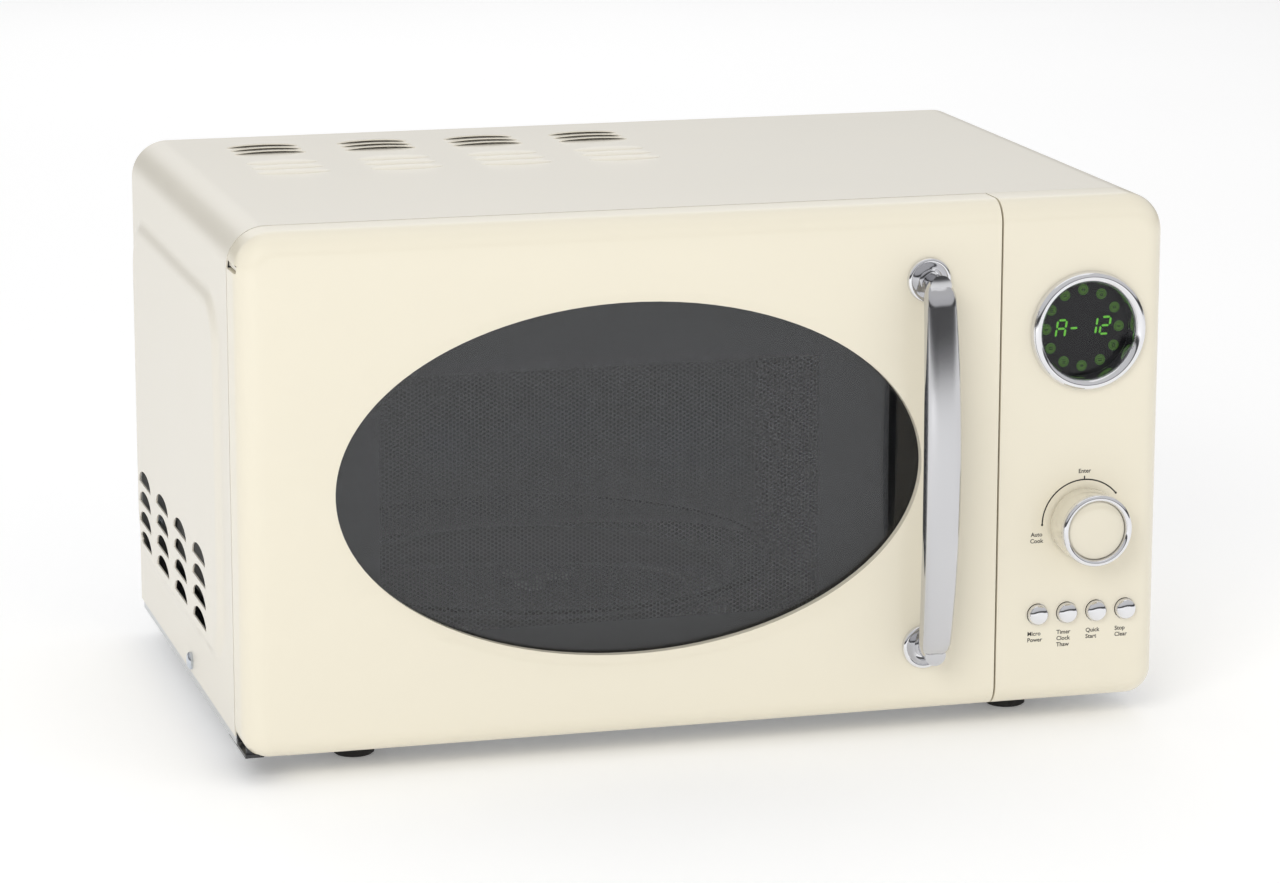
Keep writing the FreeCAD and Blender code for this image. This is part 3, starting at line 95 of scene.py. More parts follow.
# The camera: its place in metres, the directions of its right, up and back, and its lens.
CAMERA_PLACE = (-0.5841, -2.1074, 0.6091)
CAMERA_RIGHT = (0.96364, -0.26719, 0.00102)
CAMERA_UP = (0.05691, 0.20900, 0.97626)
CAMERA_BACK = (-0.26106, -0.94071, 0.21661)
CAMERA_LENS, CAMERA_SENSOR = 126.13, 36


# ---------------------------------------------------------------- sizes and colours


class OvenSizes(bpy.types.PropertyGroup):
    """Sizes of the pieces that are shaped here"""

    sheet: FloatProperty(
        name="Sheet", description="Thickness of the painted steel sheet",
        default=0.8 * MM, min=0, unit="LENGTH")
    field_slope: FloatProperty(
        name="Field slope", description="Width of the slope round each raised side field",
        default=12 * MM, min=0, unit="LENGTH")
    field_rise: FloatProperty(
        name="Field rise", description="How far the side fields stand out",
        default=2.5 * MM, min=0, unit="LENGTH")
    hood_rise: FloatProperty(
        name="Hood rise", description="Height of the hoods over the top louvres",
        default=1.7 * MM, min=0, unit="LENGTH")
    hole_pitch: FloatProperty(
        name="Hole pitch", description="Distance between neighbouring holes of the door screen",
        default=2.08 * MM, min=0.5 * MM, unit="LENGTH")
    hole_width: FloatProperty(
        name="Hole width", description="Width of a hole of the door screen",
        default=1.4 * MM, min=0.2 * MM, unit="LENGTH")
    digit_height: FloatProperty(
        name="Digit height", description="Height of the display's digits",
        default=8.2 * MM, min=1 * MM, unit="LENGTH")
    print_height: FloatProperty(
        name="Print height", description="Letter size of the printed labels",
        default=2.9 * MM, min=0.5 * MM, unit="LENGTH")
    steps: IntProperty(
        name="Steps", description="Sides of a turned piece",
        default=96, min=12, max=256)


class OvenColours(bpy.types.PropertyGroup):
    """Colours of the oven's finishes"""

    cream: FloatVectorProperty(
        name="Cream", description="Painted sheet and door moulding",
        subtype="COLOR", size=3, default=(0.805, 0.75, 0.61), min=0, max=1)
    shell: FloatVectorProperty(
        name="Shell", description="Painted sheet of the top and sides",
        subtype="COLOR", size=3, default=(0.79, 0.75, 0.655), min=0, max=1)
    chrome: FloatVectorProperty(
        name="Chrome", description="Handle, bezel, knob ring and buttons",
        subtype="COLOR", size=3, default=(0.80, 0.80, 0.82), min=0, max=1)
    glass: FloatVectorProperty(
        name="Glass", description="Tint of the door window",
        subtype="COLOR", size=3, default=(0.52, 0.53, 0.55), min=0, max=1)
    glow: FloatVectorProperty(
        name="Glow", description="Lit digits of the display",
        subtype="COLOR", size=3, default=(0.17, 0.62, 0.05), min=0, max=1)
    symbol: FloatVectorProperty(
        name="Symbol", description="Printed symbols of the display",
        subtype="COLOR", size=3, default=(0.10, 0.26, 0.03), min=0, max=1)
    ink: FloatVectorProperty(
        name="Ink", description="Printed labels",
        subtype="COLOR", size=3, default=(0.02, 0.018, 0.015), min=0, max=1)


# ---------------------------------------------------------------- finishes


def shade(colour, factor):
    """A colour made lighter or darker, as red, green, blue and one."""
    return [min(1.0, part * factor) for part in colour[:3]] + [1.0]


def finish(name, colour, roughness, metallic=0.0, mottle=0.03, mottle_scale=40.0,
           uneven=0.15, grain=0.02, grain_scale=900.0, stretch=(1, 1, 1), pattern="NOISE",
           **sockets):
    """A finish: slight mottling of the colour, uneven gloss and a fine grain in relief."""
    material = bpy.data.materials.new(name)
    material.use_nodes = True
    nodes, links = material.node_tree.nodes, material.node_tree.links
    shader = nodes["Principled BSDF"]
    shader.inputs["Metallic"].default_value = metallic
    for socket, value in sockets.items():
        shader.inputs[socket.replace("_", " ")].default_value = value

    where = nodes.new("ShaderNodeTexCoord")
    turned_to = nodes.new("ShaderNodeMapping")
    turned_to.inputs["Scale"].default_value = stretch
    links.new(where.outputs["Object"], turned_to.inputs["Vector"])

    cloud = nodes.new("ShaderNodeTexNoise")
    cloud.inputs["Scale"].default_value = mottle_scale
    cloud.inputs["Detail"].default_value = 3.0
    links.new(turned_to.outputs["Vector"], cloud.inputs["Vector"])
    tone = nodes.new("ShaderNodeMix")
    tone.data_type = "RGBA"
    tone.inputs["A"].default_value = shade(colour, 1 - mottle)
    tone.inputs["B"].default_value = shade(colour, 1 + mottle)
    links.new(cloud.outputs["Fac"], tone.inputs["Factor"])
    links.new(tone.outputs["Result"], shader.inputs["Base Color"])

    gloss = nodes.new("ShaderNodeMapRange")
    gloss.inputs["To Min"].default_value = roughness * (1 - uneven)
    gloss.inputs["To Max"].default_value = roughness * (1 + uneven)
    links.new(cloud.outputs["Fac"], gloss.inputs["Value"])
    links.new(gloss.outputs["Result"], shader.inputs["Roughness"])

    kinds = {"NOISE": "ShaderNodeTexNoise", "CELLS": "ShaderNodeTexVoronoi", "WIRE": "ShaderNodeTexWave"}
    relief = nodes.new(kinds[pattern])
    relief.inputs["Scale"].default_value = grain_scale
    links.new(turned_to.outputs["Vector"], relief.inputs["Vector"])
    bump = nodes.new("ShaderNodeBump")
    bump.inputs["Strength"].default_value = min(1.0, grain * 10)
    bump.inputs["Distance"].default_value = 0.1 * MM
    links.new(relief.outputs["Distance" if pattern == "CELLS" else "Fac"], bump.inputs["Height"])
    links.new(bump.outputs["Normal"], shader.inputs["Normal"])
    return material


def worn(material, colour, share=0.15, scale=220.0):
    """Adds small scuffs of another colour to a finish."""
    nodes, links = material.node_tree.nodes, material.node_tree.links
    shader = nodes["Principled BSDF"]
    before = shader.inputs["Base Color"].links[0].from_socket
    where = nodes["Mapping"].outputs["Vector"]
    scuffs = nodes.new("ShaderNodeTexNoise")
    scuffs.inputs["Scale"].default_value = scale
    scuffs.inputs["Detail"].default_value = 6.0
    links.new(where, scuffs.inputs["Vector"])
    only_peaks = nodes.new("ShaderNodeMapRange")
    only_peaks.inputs["From Min"].default_value = 0.62
    only_peaks.inputs["From Max"].default_value = 0.75
    only_peaks.inputs["To Max"].default_value = share
    links.new(scuffs.outputs["Fac"], only_peaks.inputs["Value"])
    over = nodes.new("ShaderNodeMix")
    over.data_type = "RGBA"
    over.inputs["B"].default_value = shade(colour, 1)
    links.new(only_peaks.outputs["Result"], over.inputs["Factor"])
    links.new(before, over.inputs["A"])
    links.new(over.outputs["Result"], shader.inputs["Base Color"])
    return material


def finishes(colours):
    """Every finish of the oven, by the name of its slot in the record."""
    made = {
        "cream_paint": finish("cream_paint", colours.shell, 0.36, mottle=0.012, mottle_scale=14,
                              grain=0.012, grain_scale=700, Coat_Weight=0.25, Coat_Roughness=0.18),
        "cream_plastic": finish("cream_plastic", colours.cream, 0.30, mottle=0.01, mottle_scale=18,
                                grain=0.008, grain_scale=1100, Coat_Weight=0.35, Coat_Roughness=0.12),
        "knob_cream": finish("knob_cream", shade(colours.cream, 0.93), 0.12, mottle=0.012, mottle_scale=60,
                             grain=0.004, grain_scale=900, Coat_Weight=0.6, Coat_Roughness=0.04),
        "chrome": finish("chrome", colours.chrome, 0.05, metallic=1.0, mottle=0.02, mottle_scale=35,
                         uneven=0.4, grain=0.002, grain_scale=160),
        # The handle's chrome is rougher (satin) and its colour darkened to 0.76: painted shade that dims
        # the handle's reflections.
        "satin_chrome": finish("satin_chrome", shade(colours.chrome, 0.76), 0.13, metallic=1.0, mottle=0.02,
                               mottle_scale=35, uneven=0.3, grain=0.002, grain_scale=160),
        "door_glass": finish("door_glass", colours.glass, 0.03, mottle=0.02, mottle_scale=9,
                             grain=0.0005, grain_scale=12, Transmission_Weight=1.0, IOR=1.5),
        "clear_film": finish("clear_film", (0.9, 0.92, 0.92), 0.06, mottle=0.01, mottle_scale=20,
                             grain=0.002, grain_scale=60, Transmission_Weight=1.0, IOR=1.1),
        "tray_glass": finish("tray_glass", (0.86, 0.94, 0.92), 0.05, mottle=0.01, mottle_scale=25,
                             grain=0.01, grain_scale=90, Transmission_Weight=1.0, IOR=1.5),
        "screen_black": finish("screen_black", (0.055, 0.056, 0.060), 0.42, mottle=0.06, mottle_scale=30,
                               grain=0.02, grain_scale=900),
        "choke_steel": finish("choke_steel", (0.030, 0.030, 0.033), 0.40, mottle=0.08, mottle_scale=22,
                              grain=0.015, grain_scale=500),
        "black_plastic": finish("black_plastic", (0.018, 0.018, 0.020), 0.5, mottle=0.1, mottle_scale=60,
                                grain=0.03, grain_scale=1400),
        "display_dark": finish("display_dark", (0.50, 0.50, 0.52), 0.03, mottle=0.01, mottle_scale=15,
                               grain=0.0005, grain_scale=20, Transmission_Weight=1.0, IOR=1.3),
        "display_block": finish("display_block", (0.024, 0.023, 0.027), 0.55, mottle=0.12, mottle_scale=160,
                                grain=0.01, grain_scale=900),
        "cavity_enamel": finish("cavity_enamel", (0.40, 0.40, 0.39), 0.30, mottle=0.05, mottle_scale=25,
                                grain=0.03, grain_scale=420, pattern="CELLS"),
        "zinc_steel": finish("zinc_steel", (0.60, 0.61, 0.62), 0.34, metallic=1.0, mottle=0.10,
                             mottle_scale=45, grain=0.02, grain_scale=300, stretch=(1, 1, 6)),
        "screw_steel": finish("screw_steel", (0.62, 0.66, 0.72), 0.22, metallic=1.0, mottle=0.08,
                              mottle_scale=200, grain=0.01, grain_scale=600),
        "aluminium": finish("aluminium", (0.76, 0.77, 0.78), 0.36, metallic=1.0, mottle=0.05,
                            mottle_scale=60, grain=0.02, grain_scale=350, stretch=(8, 1, 1)),
        "core_steel": worn(finish("core_steel", (0.10, 0.10, 0.11), 0.5, metallic=0.6, mottle=0.15,
                                  mottle_scale=30, grain=0.06, grain_scale=320, pattern="WIRE",
                                  stretch=(0, 0, 1)), (0.35, 0.15, 0.06), 0.3),
        "copper": finish("copper", (0.62, 0.27, 0.10), 0.28, metallic=0.9, mottle=0.10,
                         mottle_scale=50, grain=0.10, grain_scale=260, pattern="WIRE", stretch=(0, 1, 0)),
        "board_green": worn(finish("board_green", (0.03, 0.16, 0.06), 0.38, mottle=0.2, mottle_scale=120,
                                   grain=0.02, grain_scale=500), (0.55, 0.5, 0.3), 0.5, 400.0),
        "diode_black": finish("diode_black", (0.02, 0.02, 0.02), 0.45, mottle=0.1, mottle_scale=200,
                              grain=0.03, grain_scale=1500),
        "mica": finish("mica", (0.62, 0.57, 0.45), 0.45, mottle=0.14, mottle_scale=70,
                       grain=0.03, grain_scale=260, stretch=(1, 3, 1)),
        "white_plastic": finish("white_plastic", (0.82, 0.81, 0.77), 0.4, mottle=0.02, mottle_scale=60,
                                grain=0.015, grain_scale=1300),
        "foot_rubber": finish("foot_rubber", (0.020, 0.019, 0.018), 0.65, mottle=0.12, mottle_scale=150,
                              grain=0.05, grain_scale=1500),
        "glow": finish("display_glow", colours.glow, 0.5, mottle=0.10, mottle_scale=900,
                       grain=0.005, Emission_Color=shade(colours.glow, 1), Emission_Strength=1.3),
        "symbol": finish("display_symbol", colours.symbol, 0.5, mottle=0.20, mottle_scale=900,
                         grain=0.005, Emission_Color=shade(colours.symbol, 1), Emission_Strength=0.6),
        "ink": finish("label_ink", colours.ink, 0.5, mottle=0.2, mottle_scale=900, grain=0.01),
    }
    return made


# ---------------------------------------------------------------- ways of working


def clear_selection():
    """Leaves edit mode and deselects every object."""
    if bpy.context.object is not None and bpy.context.object.mode != "OBJECT":
        bpy.ops.object.mode_set(mode="OBJECT")
    bpy.ops.object.select_all(action="DESELECT")


def only(piece):
    """Selects one object and makes it the active one."""
    clear_selection()
    piece.select_set(True)
    bpy.context.view_layer.objects.active = piece
    return piece


def edit(piece, mode="FACE"):
    """Opens a piece in edit mode with nothing selected."""
    only(piece)
    bpy.ops.object.mode_set(mode="EDIT")
    bpy.ops.mesh.select_mode(type=mode)
    bpy.ops.mesh.select_all(action="DESELECT")


def pick(piece, kind, test):
    """Selects the faces, edges or verts whose middle and normal pass a test, in edit mode."""
    shape = bmesh.from_edit_mesh(piece.data)
    for part in getattr(shape, kind):
        if kind == "verts":
            middle, normal = part.co, part.normal
        elif kind == "edges":
            middle, normal = (part.verts[0].co + part.verts[1].co) / 2, part.verts[1].co - part.verts[0].co
        else:
            middle, normal = part.calc_center_median(), part.normal
        if test(middle, normal):
            part.select_set(True)
    bmesh.update_edit_mesh(piece.data)


def settle(piece, name):
    """Names a piece and puts its place into its mesh."""
    only(piece)
    bpy.ops.object.transform_apply(location=True, rotation=True, scale=True)
    piece.name = name
    piece.data.name = name
    return piece


def put(piece, turn, scale):
    """Turns and scales a fresh primitive and puts that into its mesh."""
    piece.rotation_euler = turn
    piece.scale = scale
    only(piece)
    bpy.ops.object.transform_apply(location=True, rotation=True, scale=True)
    return piece


def block(low, high):
    """A box primitive between two corners."""
    clear_selection()
    low, high = Vector(low), Vector(high)
    bpy.ops.mesh.primitive_cube_add(size=1, location=(low + high) / 2)
    return put(bpy.context.object, (0, 0, 0), high - low)


def turned(name, profile, centre, steps, turn=(0, 0, 0), sweep=360.0, start=0.0):
    """A turned piece: a line of (radius, height) points, in millimetres, spun about its axis."""
    clear_selection()
    bpy.ops.mesh.primitive_plane_add(size=1 * MM)
    piece = bpy.context.object
    bpy.ops.object.mode_set(mode="EDIT")
    bpy.ops.mesh.select_mode(type="VERT")
    bpy.ops.mesh.select_all(action="SELECT")
    bpy.ops.mesh.merge(type="CENTER")
    bpy.ops.transform.translate(value=(profile[0][0] * MM, 0, profile[0][1] * MM))
    for (radius, height), (next_radius, next_height) in zip(profile, profile[1:]):
        step = ((next_radius - radius) * MM, 0, (next_height - height) * MM)
        bpy.ops.mesh.extrude_vertices_move(TRANSFORM_OT_translate={"value": step})
    bpy.ops.mesh.select_all(action="SELECT")
    if start:
        bpy.ops.transform.rotate(value=math.radians(start), orient_axis="Z", center_override=(0, 0, 0))
    bpy.ops.mesh.spin(steps=steps, angle=math.radians(sweep), center=(0, 0, 0), axis=(0, 0, 1))
    bpy.ops.mesh.select_all(action="SELECT")
    bpy.ops.mesh.remove_doubles(threshold=0.001 * MM)
    bpy.ops.mesh.normals_make_consistent(inside=False)
    bpy.ops.object.mode_set(mode="OBJECT")
    piece.rotation_euler = turn
    piece.location = centre
    return settle(piece, name)


def modify(piece, kind, **values):
    """Adds a modifier, sets it and applies it."""
    only(piece)
    modifier = piece.modifiers.new(kind.title(), kind)
    for key, value in values.items():
        setattr(modifier, key, value)
    bpy.ops.object.modifier_apply(modifier=modifier.name)
    return piece


def joined(name, pieces):
    """Joins pieces into one object."""
    only(pieces[0])
    for piece in pieces:
        piece.select_set(True)
    if len(pieces) > 1:
        bpy.ops.object.join()
    return settle(bpy.context.object, name)


def copied(piece, offset):
    """A copy of a piece, with its own mesh, moved by an offset."""
    only(piece)
    bpy.ops.object.duplicate(linked=False)
    twin = bpy.context.object
    twin.location = Vector(offset)
    bpy.ops.object.transform_apply(location=True, rotation=True, scale=True)
    return twin


def dress(piece, slot, body, *nodes, angle=32.0, own=None):
    """Gives a piece its finish, smooth shading, the body it rides on and the parts it stands for."""
    only(piece)
    bpy.ops.object.shade_smooth_by_angle(angle=math.radians(angle))
    piece.data.materials.clear()
    piece.data.materials.append(FINISH[own or slot])
    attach(piece, body)
    if nodes:
        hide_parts(*nodes)
    return piece


def body_of_node(node):
    """The body that a part rides on."""
    return frame["nodes"][node]["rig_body"]


def skinned(node, name, angle=32.0):
    """Stands in for a part whose shape is right, with its faces merged and smoothly shaded."""
    piece = bpy.data.objects.new(name, frame["nodes"][node].data.copy())
    bpy.context.scene.collection.objects.link(piece)
    only(piece)
    bpy.ops.mesh.customdata_custom_splitnormals_clear()
    bpy.ops.object.mode_set(mode="EDIT")
    bpy.ops.mesh.select_all(action="SELECT")
    bpy.ops.mesh.remove_doubles(threshold=0.002 * MM)
    bpy.ops.object.mode_set(mode="OBJECT")
    piece.data.name = name
    return dress(piece, SLOT[node], body_of_node(node), node, angle=angle)


SLOT = {name: part.data.materials[0].name for name, part in frame["nodes"].items()}
FINISH = {}


# ---------------------------------------------------------------- pieces


class OvenOperator:
    """What every builder of a piece has in common"""

    bl_options = {"REGISTER", "UNDO"}


class OVEN_OT_finishes(OvenOperator, bpy.types.Operator):
    """Mixes the finishes and paints every part that keeps its own shape"""

    bl_idname = "oven.finishes"
    bl_label = "Finishes"

    def execute(self, context):
        FINISH.update(finishes(context.scene.oven_colours))
        for name, part in frame["nodes"].items():
            for slot in part.material_slots:
                slot.material = FINISH[SLOT[name]]
        return {"FINISHED"}


class OVEN_OT_wrapper(OvenOperator, bpy.types.Operator):
    """Folds the painted sheet over the top and sides, with raised fields, louvres and hoods"""

    bl_idname = "oven.wrapper"
    bl_label = "Wrapper"

    def field(self, side, wall, sizes):
        """One side's raised field, its slope rising in an easy curve."""
        clear_selection()
        low = Vector((side * wall, FIELD_DEPTH[0] * MM, FIELD_HEIGHT[0] * MM))
        high = Vector((side * wall, FIELD_DEPTH[1] * MM, FIELD_HEIGHT[1] * MM))
        bpy.ops.mesh.primitive_plane_add(size=1, location=(low + high) / 2)
        turn = (0, side * math.radians(90), 0)
        piece = put(bpy.context.object, turn, (high.z - low.z, high.y - low.y, 1))
        edit(piece, "VERT")
        bpy.ops.mesh.select_all(action="SELECT")
        bpy.ops.mesh.bevel(offset=FIELD_CORNER * MM, segments=10, affect="VERTICES")
        bpy.ops.mesh.select_mode(type="FACE")
        bpy.ops.mesh.select_all(action="SELECT")
        rises = (0.02, 0.10, 0.20, 0.26, 0.22, 0.14, 0.06, 0.0)
        for share in rises:
            bpy.ops.mesh.inset(thickness=sizes.field_slope / len(rises), depth=sizes.field_rise * share,
                               use_boundary=True, use_even_offset=True)
        bpy.ops.object.mode_set(mode="OBJECT")
        return piece

    def shell(self, low, high, wall, corner, sizes):
        """The folded sheet with both fields let into its sides."""
        piece = block((-wall, low.y, low.z), (wall, high.y, high.z))
        edit(piece)
        pick(piece, "faces", lambda middle, normal: abs(normal.y) > 0.9 or normal.z < -0.9)
        bpy.ops.mesh.delete(type="FACE")
        bpy.ops.mesh.select_mode(type="EDGE")
        pick(piece, "edges", lambda middle, way: middle.z > high.z - MM and abs(middle.x) > wall - MM)
        bpy.ops.mesh.bevel(offset=corner, segments=20, affect="EDGES")
        bpy.ops.mesh.select_all(action="DESELECT")
        bpy.ops.mesh.select_mode(type="FACE")
        pick(piece, "faces", lambda middle, normal: abs(normal.x) > 0.999 and middle.z < high.z - corner)
        bpy.ops.mesh.delete(type="ONLY_FACE")
        bpy.ops.object.mode_set(mode="OBJECT")
        piece = joined("wrapper", [piece, self.field(-1, wall, sizes), self.field(1, wall, sizes)])
        self.bridge_walls(piece, wall)
        bpy.ops.mesh.select_all(action="SELECT")
        bpy.ops.mesh.normals_make_consistent(inside=False)
        bpy.ops.object.mode_set(mode="OBJECT")
        return piece

    def bridge_walls(self, piece, wall):
        """Fills each side wall between the sheet's open edges and its field's rim."""
        for side in (-1, 1):
            edit(piece, "EDGE")
            shape = bmesh.from_edit_mesh(piece.data)
            rims = [line for line in shape.edges if len(line.link_faces) < 2
                    and all(abs(end.co.x - side * wall) < 0.02 * MM for end in line.verts)]
            if not rims:
                raise RuntimeError("a side wall has no open edges to bridge")
            for line in rims:
                line.select_set(True)
            bmesh.update_edit_mesh(piece.data)
            bpy.ops.mesh.bridge_edge_loops()

    def openings(self, wall, top):
        """The punches for the louvres: half-oval ones in the left side, straight ones in the top."""
        clear_selection()
        first = (-wall, SIDE_LOUVRE_Y * MM, SIDE_LOUVRE_Z * MM)
        rise, half_length, reach = 7.4 * MM, 18 * MM, 12 * MM
        bpy.ops.mesh.primitive_cylinder_add(vertices=40, radius=1, depth=1, location=first)
        punch = put(bpy.context.object, (0, math.radians(90), 0), (rise, half_length, reach))
        edit(punch)
        bpy.ops.mesh.select_all(action="SELECT")
        bpy.ops.mesh.bisect(plane_co=first, plane_no=(0, 0, 1), use_fill=True, clear_inner=True)
        bpy.ops.object.mode_set(mode="OBJECT")
        punches = [punch]
        for column in range(4):
            for row in range(4):
                if column or row:
                    step = (0, SIDE_LOUVRE_STEP_Y * MM * column, SIDE_LOUVRE_STEP_Z * MM * row)
                    punches.append(copied(punch, step))
        size = Vector((17, 1.6, 3)) * MM
        slot = block(Vector((0, 0, top)) - size, Vector((0, 0, top)) + size)
        edit(slot, "EDGE")
        pick(slot, "edges", lambda middle, way: abs(way.z) > MM)
        bpy.ops.mesh.bevel(offset=1.4 * MM, segments=4, affect="EDGES")
        bpy.ops.object.mode_set(mode="OBJECT")
        for x in LOUVRE_X:
            for y in REAR_LOUVRES:
                punches.append(copied(slot, (x * MM, (y + LOUVRE_SHIFT) * MM, 0)))
            for y in FRONT_LOUVRES:
                punches.append(copied(slot, (x * MM, (y - LOUVRE_SHIFT) * MM, 0)))
        bpy.data.objects.remove(slot)
        return joined("louvre_punches", punches)

    def hoods(self, top, rise):
        """The pressed hoods over the top louvres: the rear rows open forwards, the front rows backwards."""
        made = []
        centre = (0, 0, top - 0.1 * MM)
        half_length, half_depth = 18.5 * MM, 6 * MM
        for rows, way in ((REAR_LOUVRES, 1), (FRONT_LOUVRES, -1)):
            clear_selection()
            bpy.ops.mesh.primitive_uv_sphere_add(segments=40, ring_count=20, radius=1, location=centre)
            hood = put(bpy.context.object, (0, 0, 0), (half_length, half_depth, rise))
            edit(hood)
            for place, normal in ((centre, (0, 0, 1)), ((0, 0, top), (0, way, 0))):
                bpy.ops.mesh.select_all(action="SELECT")
                bpy.ops.mesh.bisect(plane_co=place, plane_no=normal, clear_inner=True)
            bpy.ops.object.mode_set(mode="OBJECT")
            modify(hood, "SOLIDIFY", thickness=0.5 * MM, offset=-1)
            for x in LOUVRE_X:
                for y in rows:
                    made.append(copied(hood, (x * MM, y * MM, 0)))
            bpy.data.objects.remove(hood)
        return made

    def execute(self, context):
        sizes = context.scene.oven_sizes
        low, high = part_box("outer_wrapper")
        wall = high.x - sizes.field_rise
        piece = self.shell(low, high, wall, WRAPPER_CORNER * MM, sizes)
        modify(piece, "SOLIDIFY", thickness=sizes.sheet, offset=-1)
        punches = self.openings(wall, high.z)
        modify(piece, "BOOLEAN", operation="DIFFERENCE", object=punches, solver="EXACT")
        bpy.data.objects.remove(punches)
        piece = joined("wrapper_sheet", [piece] + self.hoods(high.z, sizes.hood_rise))
        dress(piece, "cream_paint", "root", "outer_wrapper", angle=28)
        return {"FINISHED"}


class OVEN_OT_front(OvenOperator, bpy.types.Operator):
    """Smooths the door moulding, the control panel and the choke cover"""

    bl_idname = "oven.front"
    bl_label = "Front mouldings"

    def execute(self, context):
        skinned("door_frame", "door_moulding", 28)
        skinned("control_panel", "control_moulding", 28)
        skinned("door_choke_cover", "door_back_cover")
        return {"FINISHED"}


class OVEN_OT_window(OvenOperator, bpy.types.Operator):
    """Fits the tinted oval glass and the perforated screen behind it"""

    bl_idname = "oven.window"
    bl_label = "Window and screen"

    def half_screen(self, name, first_column, step, level, sizes):
        """Half of the perforated field: one pair of hexagonal cells, repeated by arrays."""
        pitch = sizes.hole_pitch
        centre = (first_column, level, SCREEN_LOW * MM)
        clear_selection()
        bpy.ops.mesh.primitive_circle_add(vertices=6, radius=pitch / math.sqrt(3), fill_type="NGON",
                                          location=centre, rotation=FRONT)
        cell = bpy.context.object
        bpy.ops.object.transform_apply(location=True, rotation=True, scale=True)
        edit(cell)
        bpy.ops.mesh.select_all(action="SELECT")
        bpy.ops.transform.rotate(value=math.radians(30), orient_axis="Y", center_override=centre)
        bpy.ops.mesh.inset(thickness=(pitch - sizes.hole_width) / 2)
        bpy.ops.mesh.delete(type="FACE")
        bpy.ops.object.mode_set(mode="OBJECT")
        pair = joined("cells", [cell, copied(cell, (step, 0, pitch / 2))])
        for count, offset in ((SCREEN_COLUMNS // 2, (2 * step, 0, 0)), (SCREEN_ROWS, (0, 0, pitch))):
            modify(pair, "ARRAY", count=count, use_relative_offset=False, use_constant_offset=True,
                   constant_offset_displace=offset)
        edit(pair)
        bpy.ops.mesh.select_all(action="SELECT")
        bpy.ops.mesh.remove_doubles(threshold=0.01 * MM)
        bpy.ops.object.mode_set(mode="OBJECT")
        return settle(pair, name)

    def border(self, low, high, hole_low, hole_high):
        """The plain margin of the screen round its perforated field."""
        piece = block(low, high)
        edit(piece)
        for place, normal in (((hole_low.x, 0, 0), (1, 0, 0)), ((hole_high.x, 0, 0), (1, 0, 0)),
                              ((0, 0, hole_low.z), (0, 0, 1)), ((0, 0, hole_high.z), (0, 0, 1))):
            bpy.ops.mesh.select_all(action="SELECT")
            bpy.ops.mesh.bisect(plane_co=place, plane_no=normal)
        bpy.ops.mesh.select_all(action="DESELECT")
        pick(piece, "faces", lambda middle, normal: abs(normal.y) > 0.9
             and hole_low.x < middle.x < hole_high.x and hole_low.z < middle.z < hole_high.z)
        bpy.ops.mesh.bridge_edge_loops()
        bpy.ops.object.mode_set(mode="OBJECT")
        return piece

    def execute(self, context):
        sizes = context.scene.oven_sizes
        skinned("door_window", "window_glass")
        low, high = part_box("door_screen")
        level = (low.y + high.y) / 2
        step = sizes.hole_pitch * math.sin(math.radians(60))
        first, bottom = SCREEN_LEFT * MM, SCREEN_LOW * MM
        left = self.half_screen("screen_left", first, step, level, sizes)
        dress(left, "screen_black", "door", "door_screen")
        right = self.half_screen("screen_right", first + SCREEN_COLUMNS * step, step, level, sizes)
        dress(right, "screen_black", "door")
        hole_low = Vector((first, 0, bottom + sizes.hole_pitch / 2))
        hole_high = Vector((first + (2 * SCREEN_COLUMNS - 1) * step, 0,
                            bottom + (SCREEN_ROWS - 1) * sizes.hole_pitch))
        border = self.border(low, high, hole_low, hole_high)
        dress(settle(border, "screen_border"), "screen_black", "door")
        return {"FINISHED"}


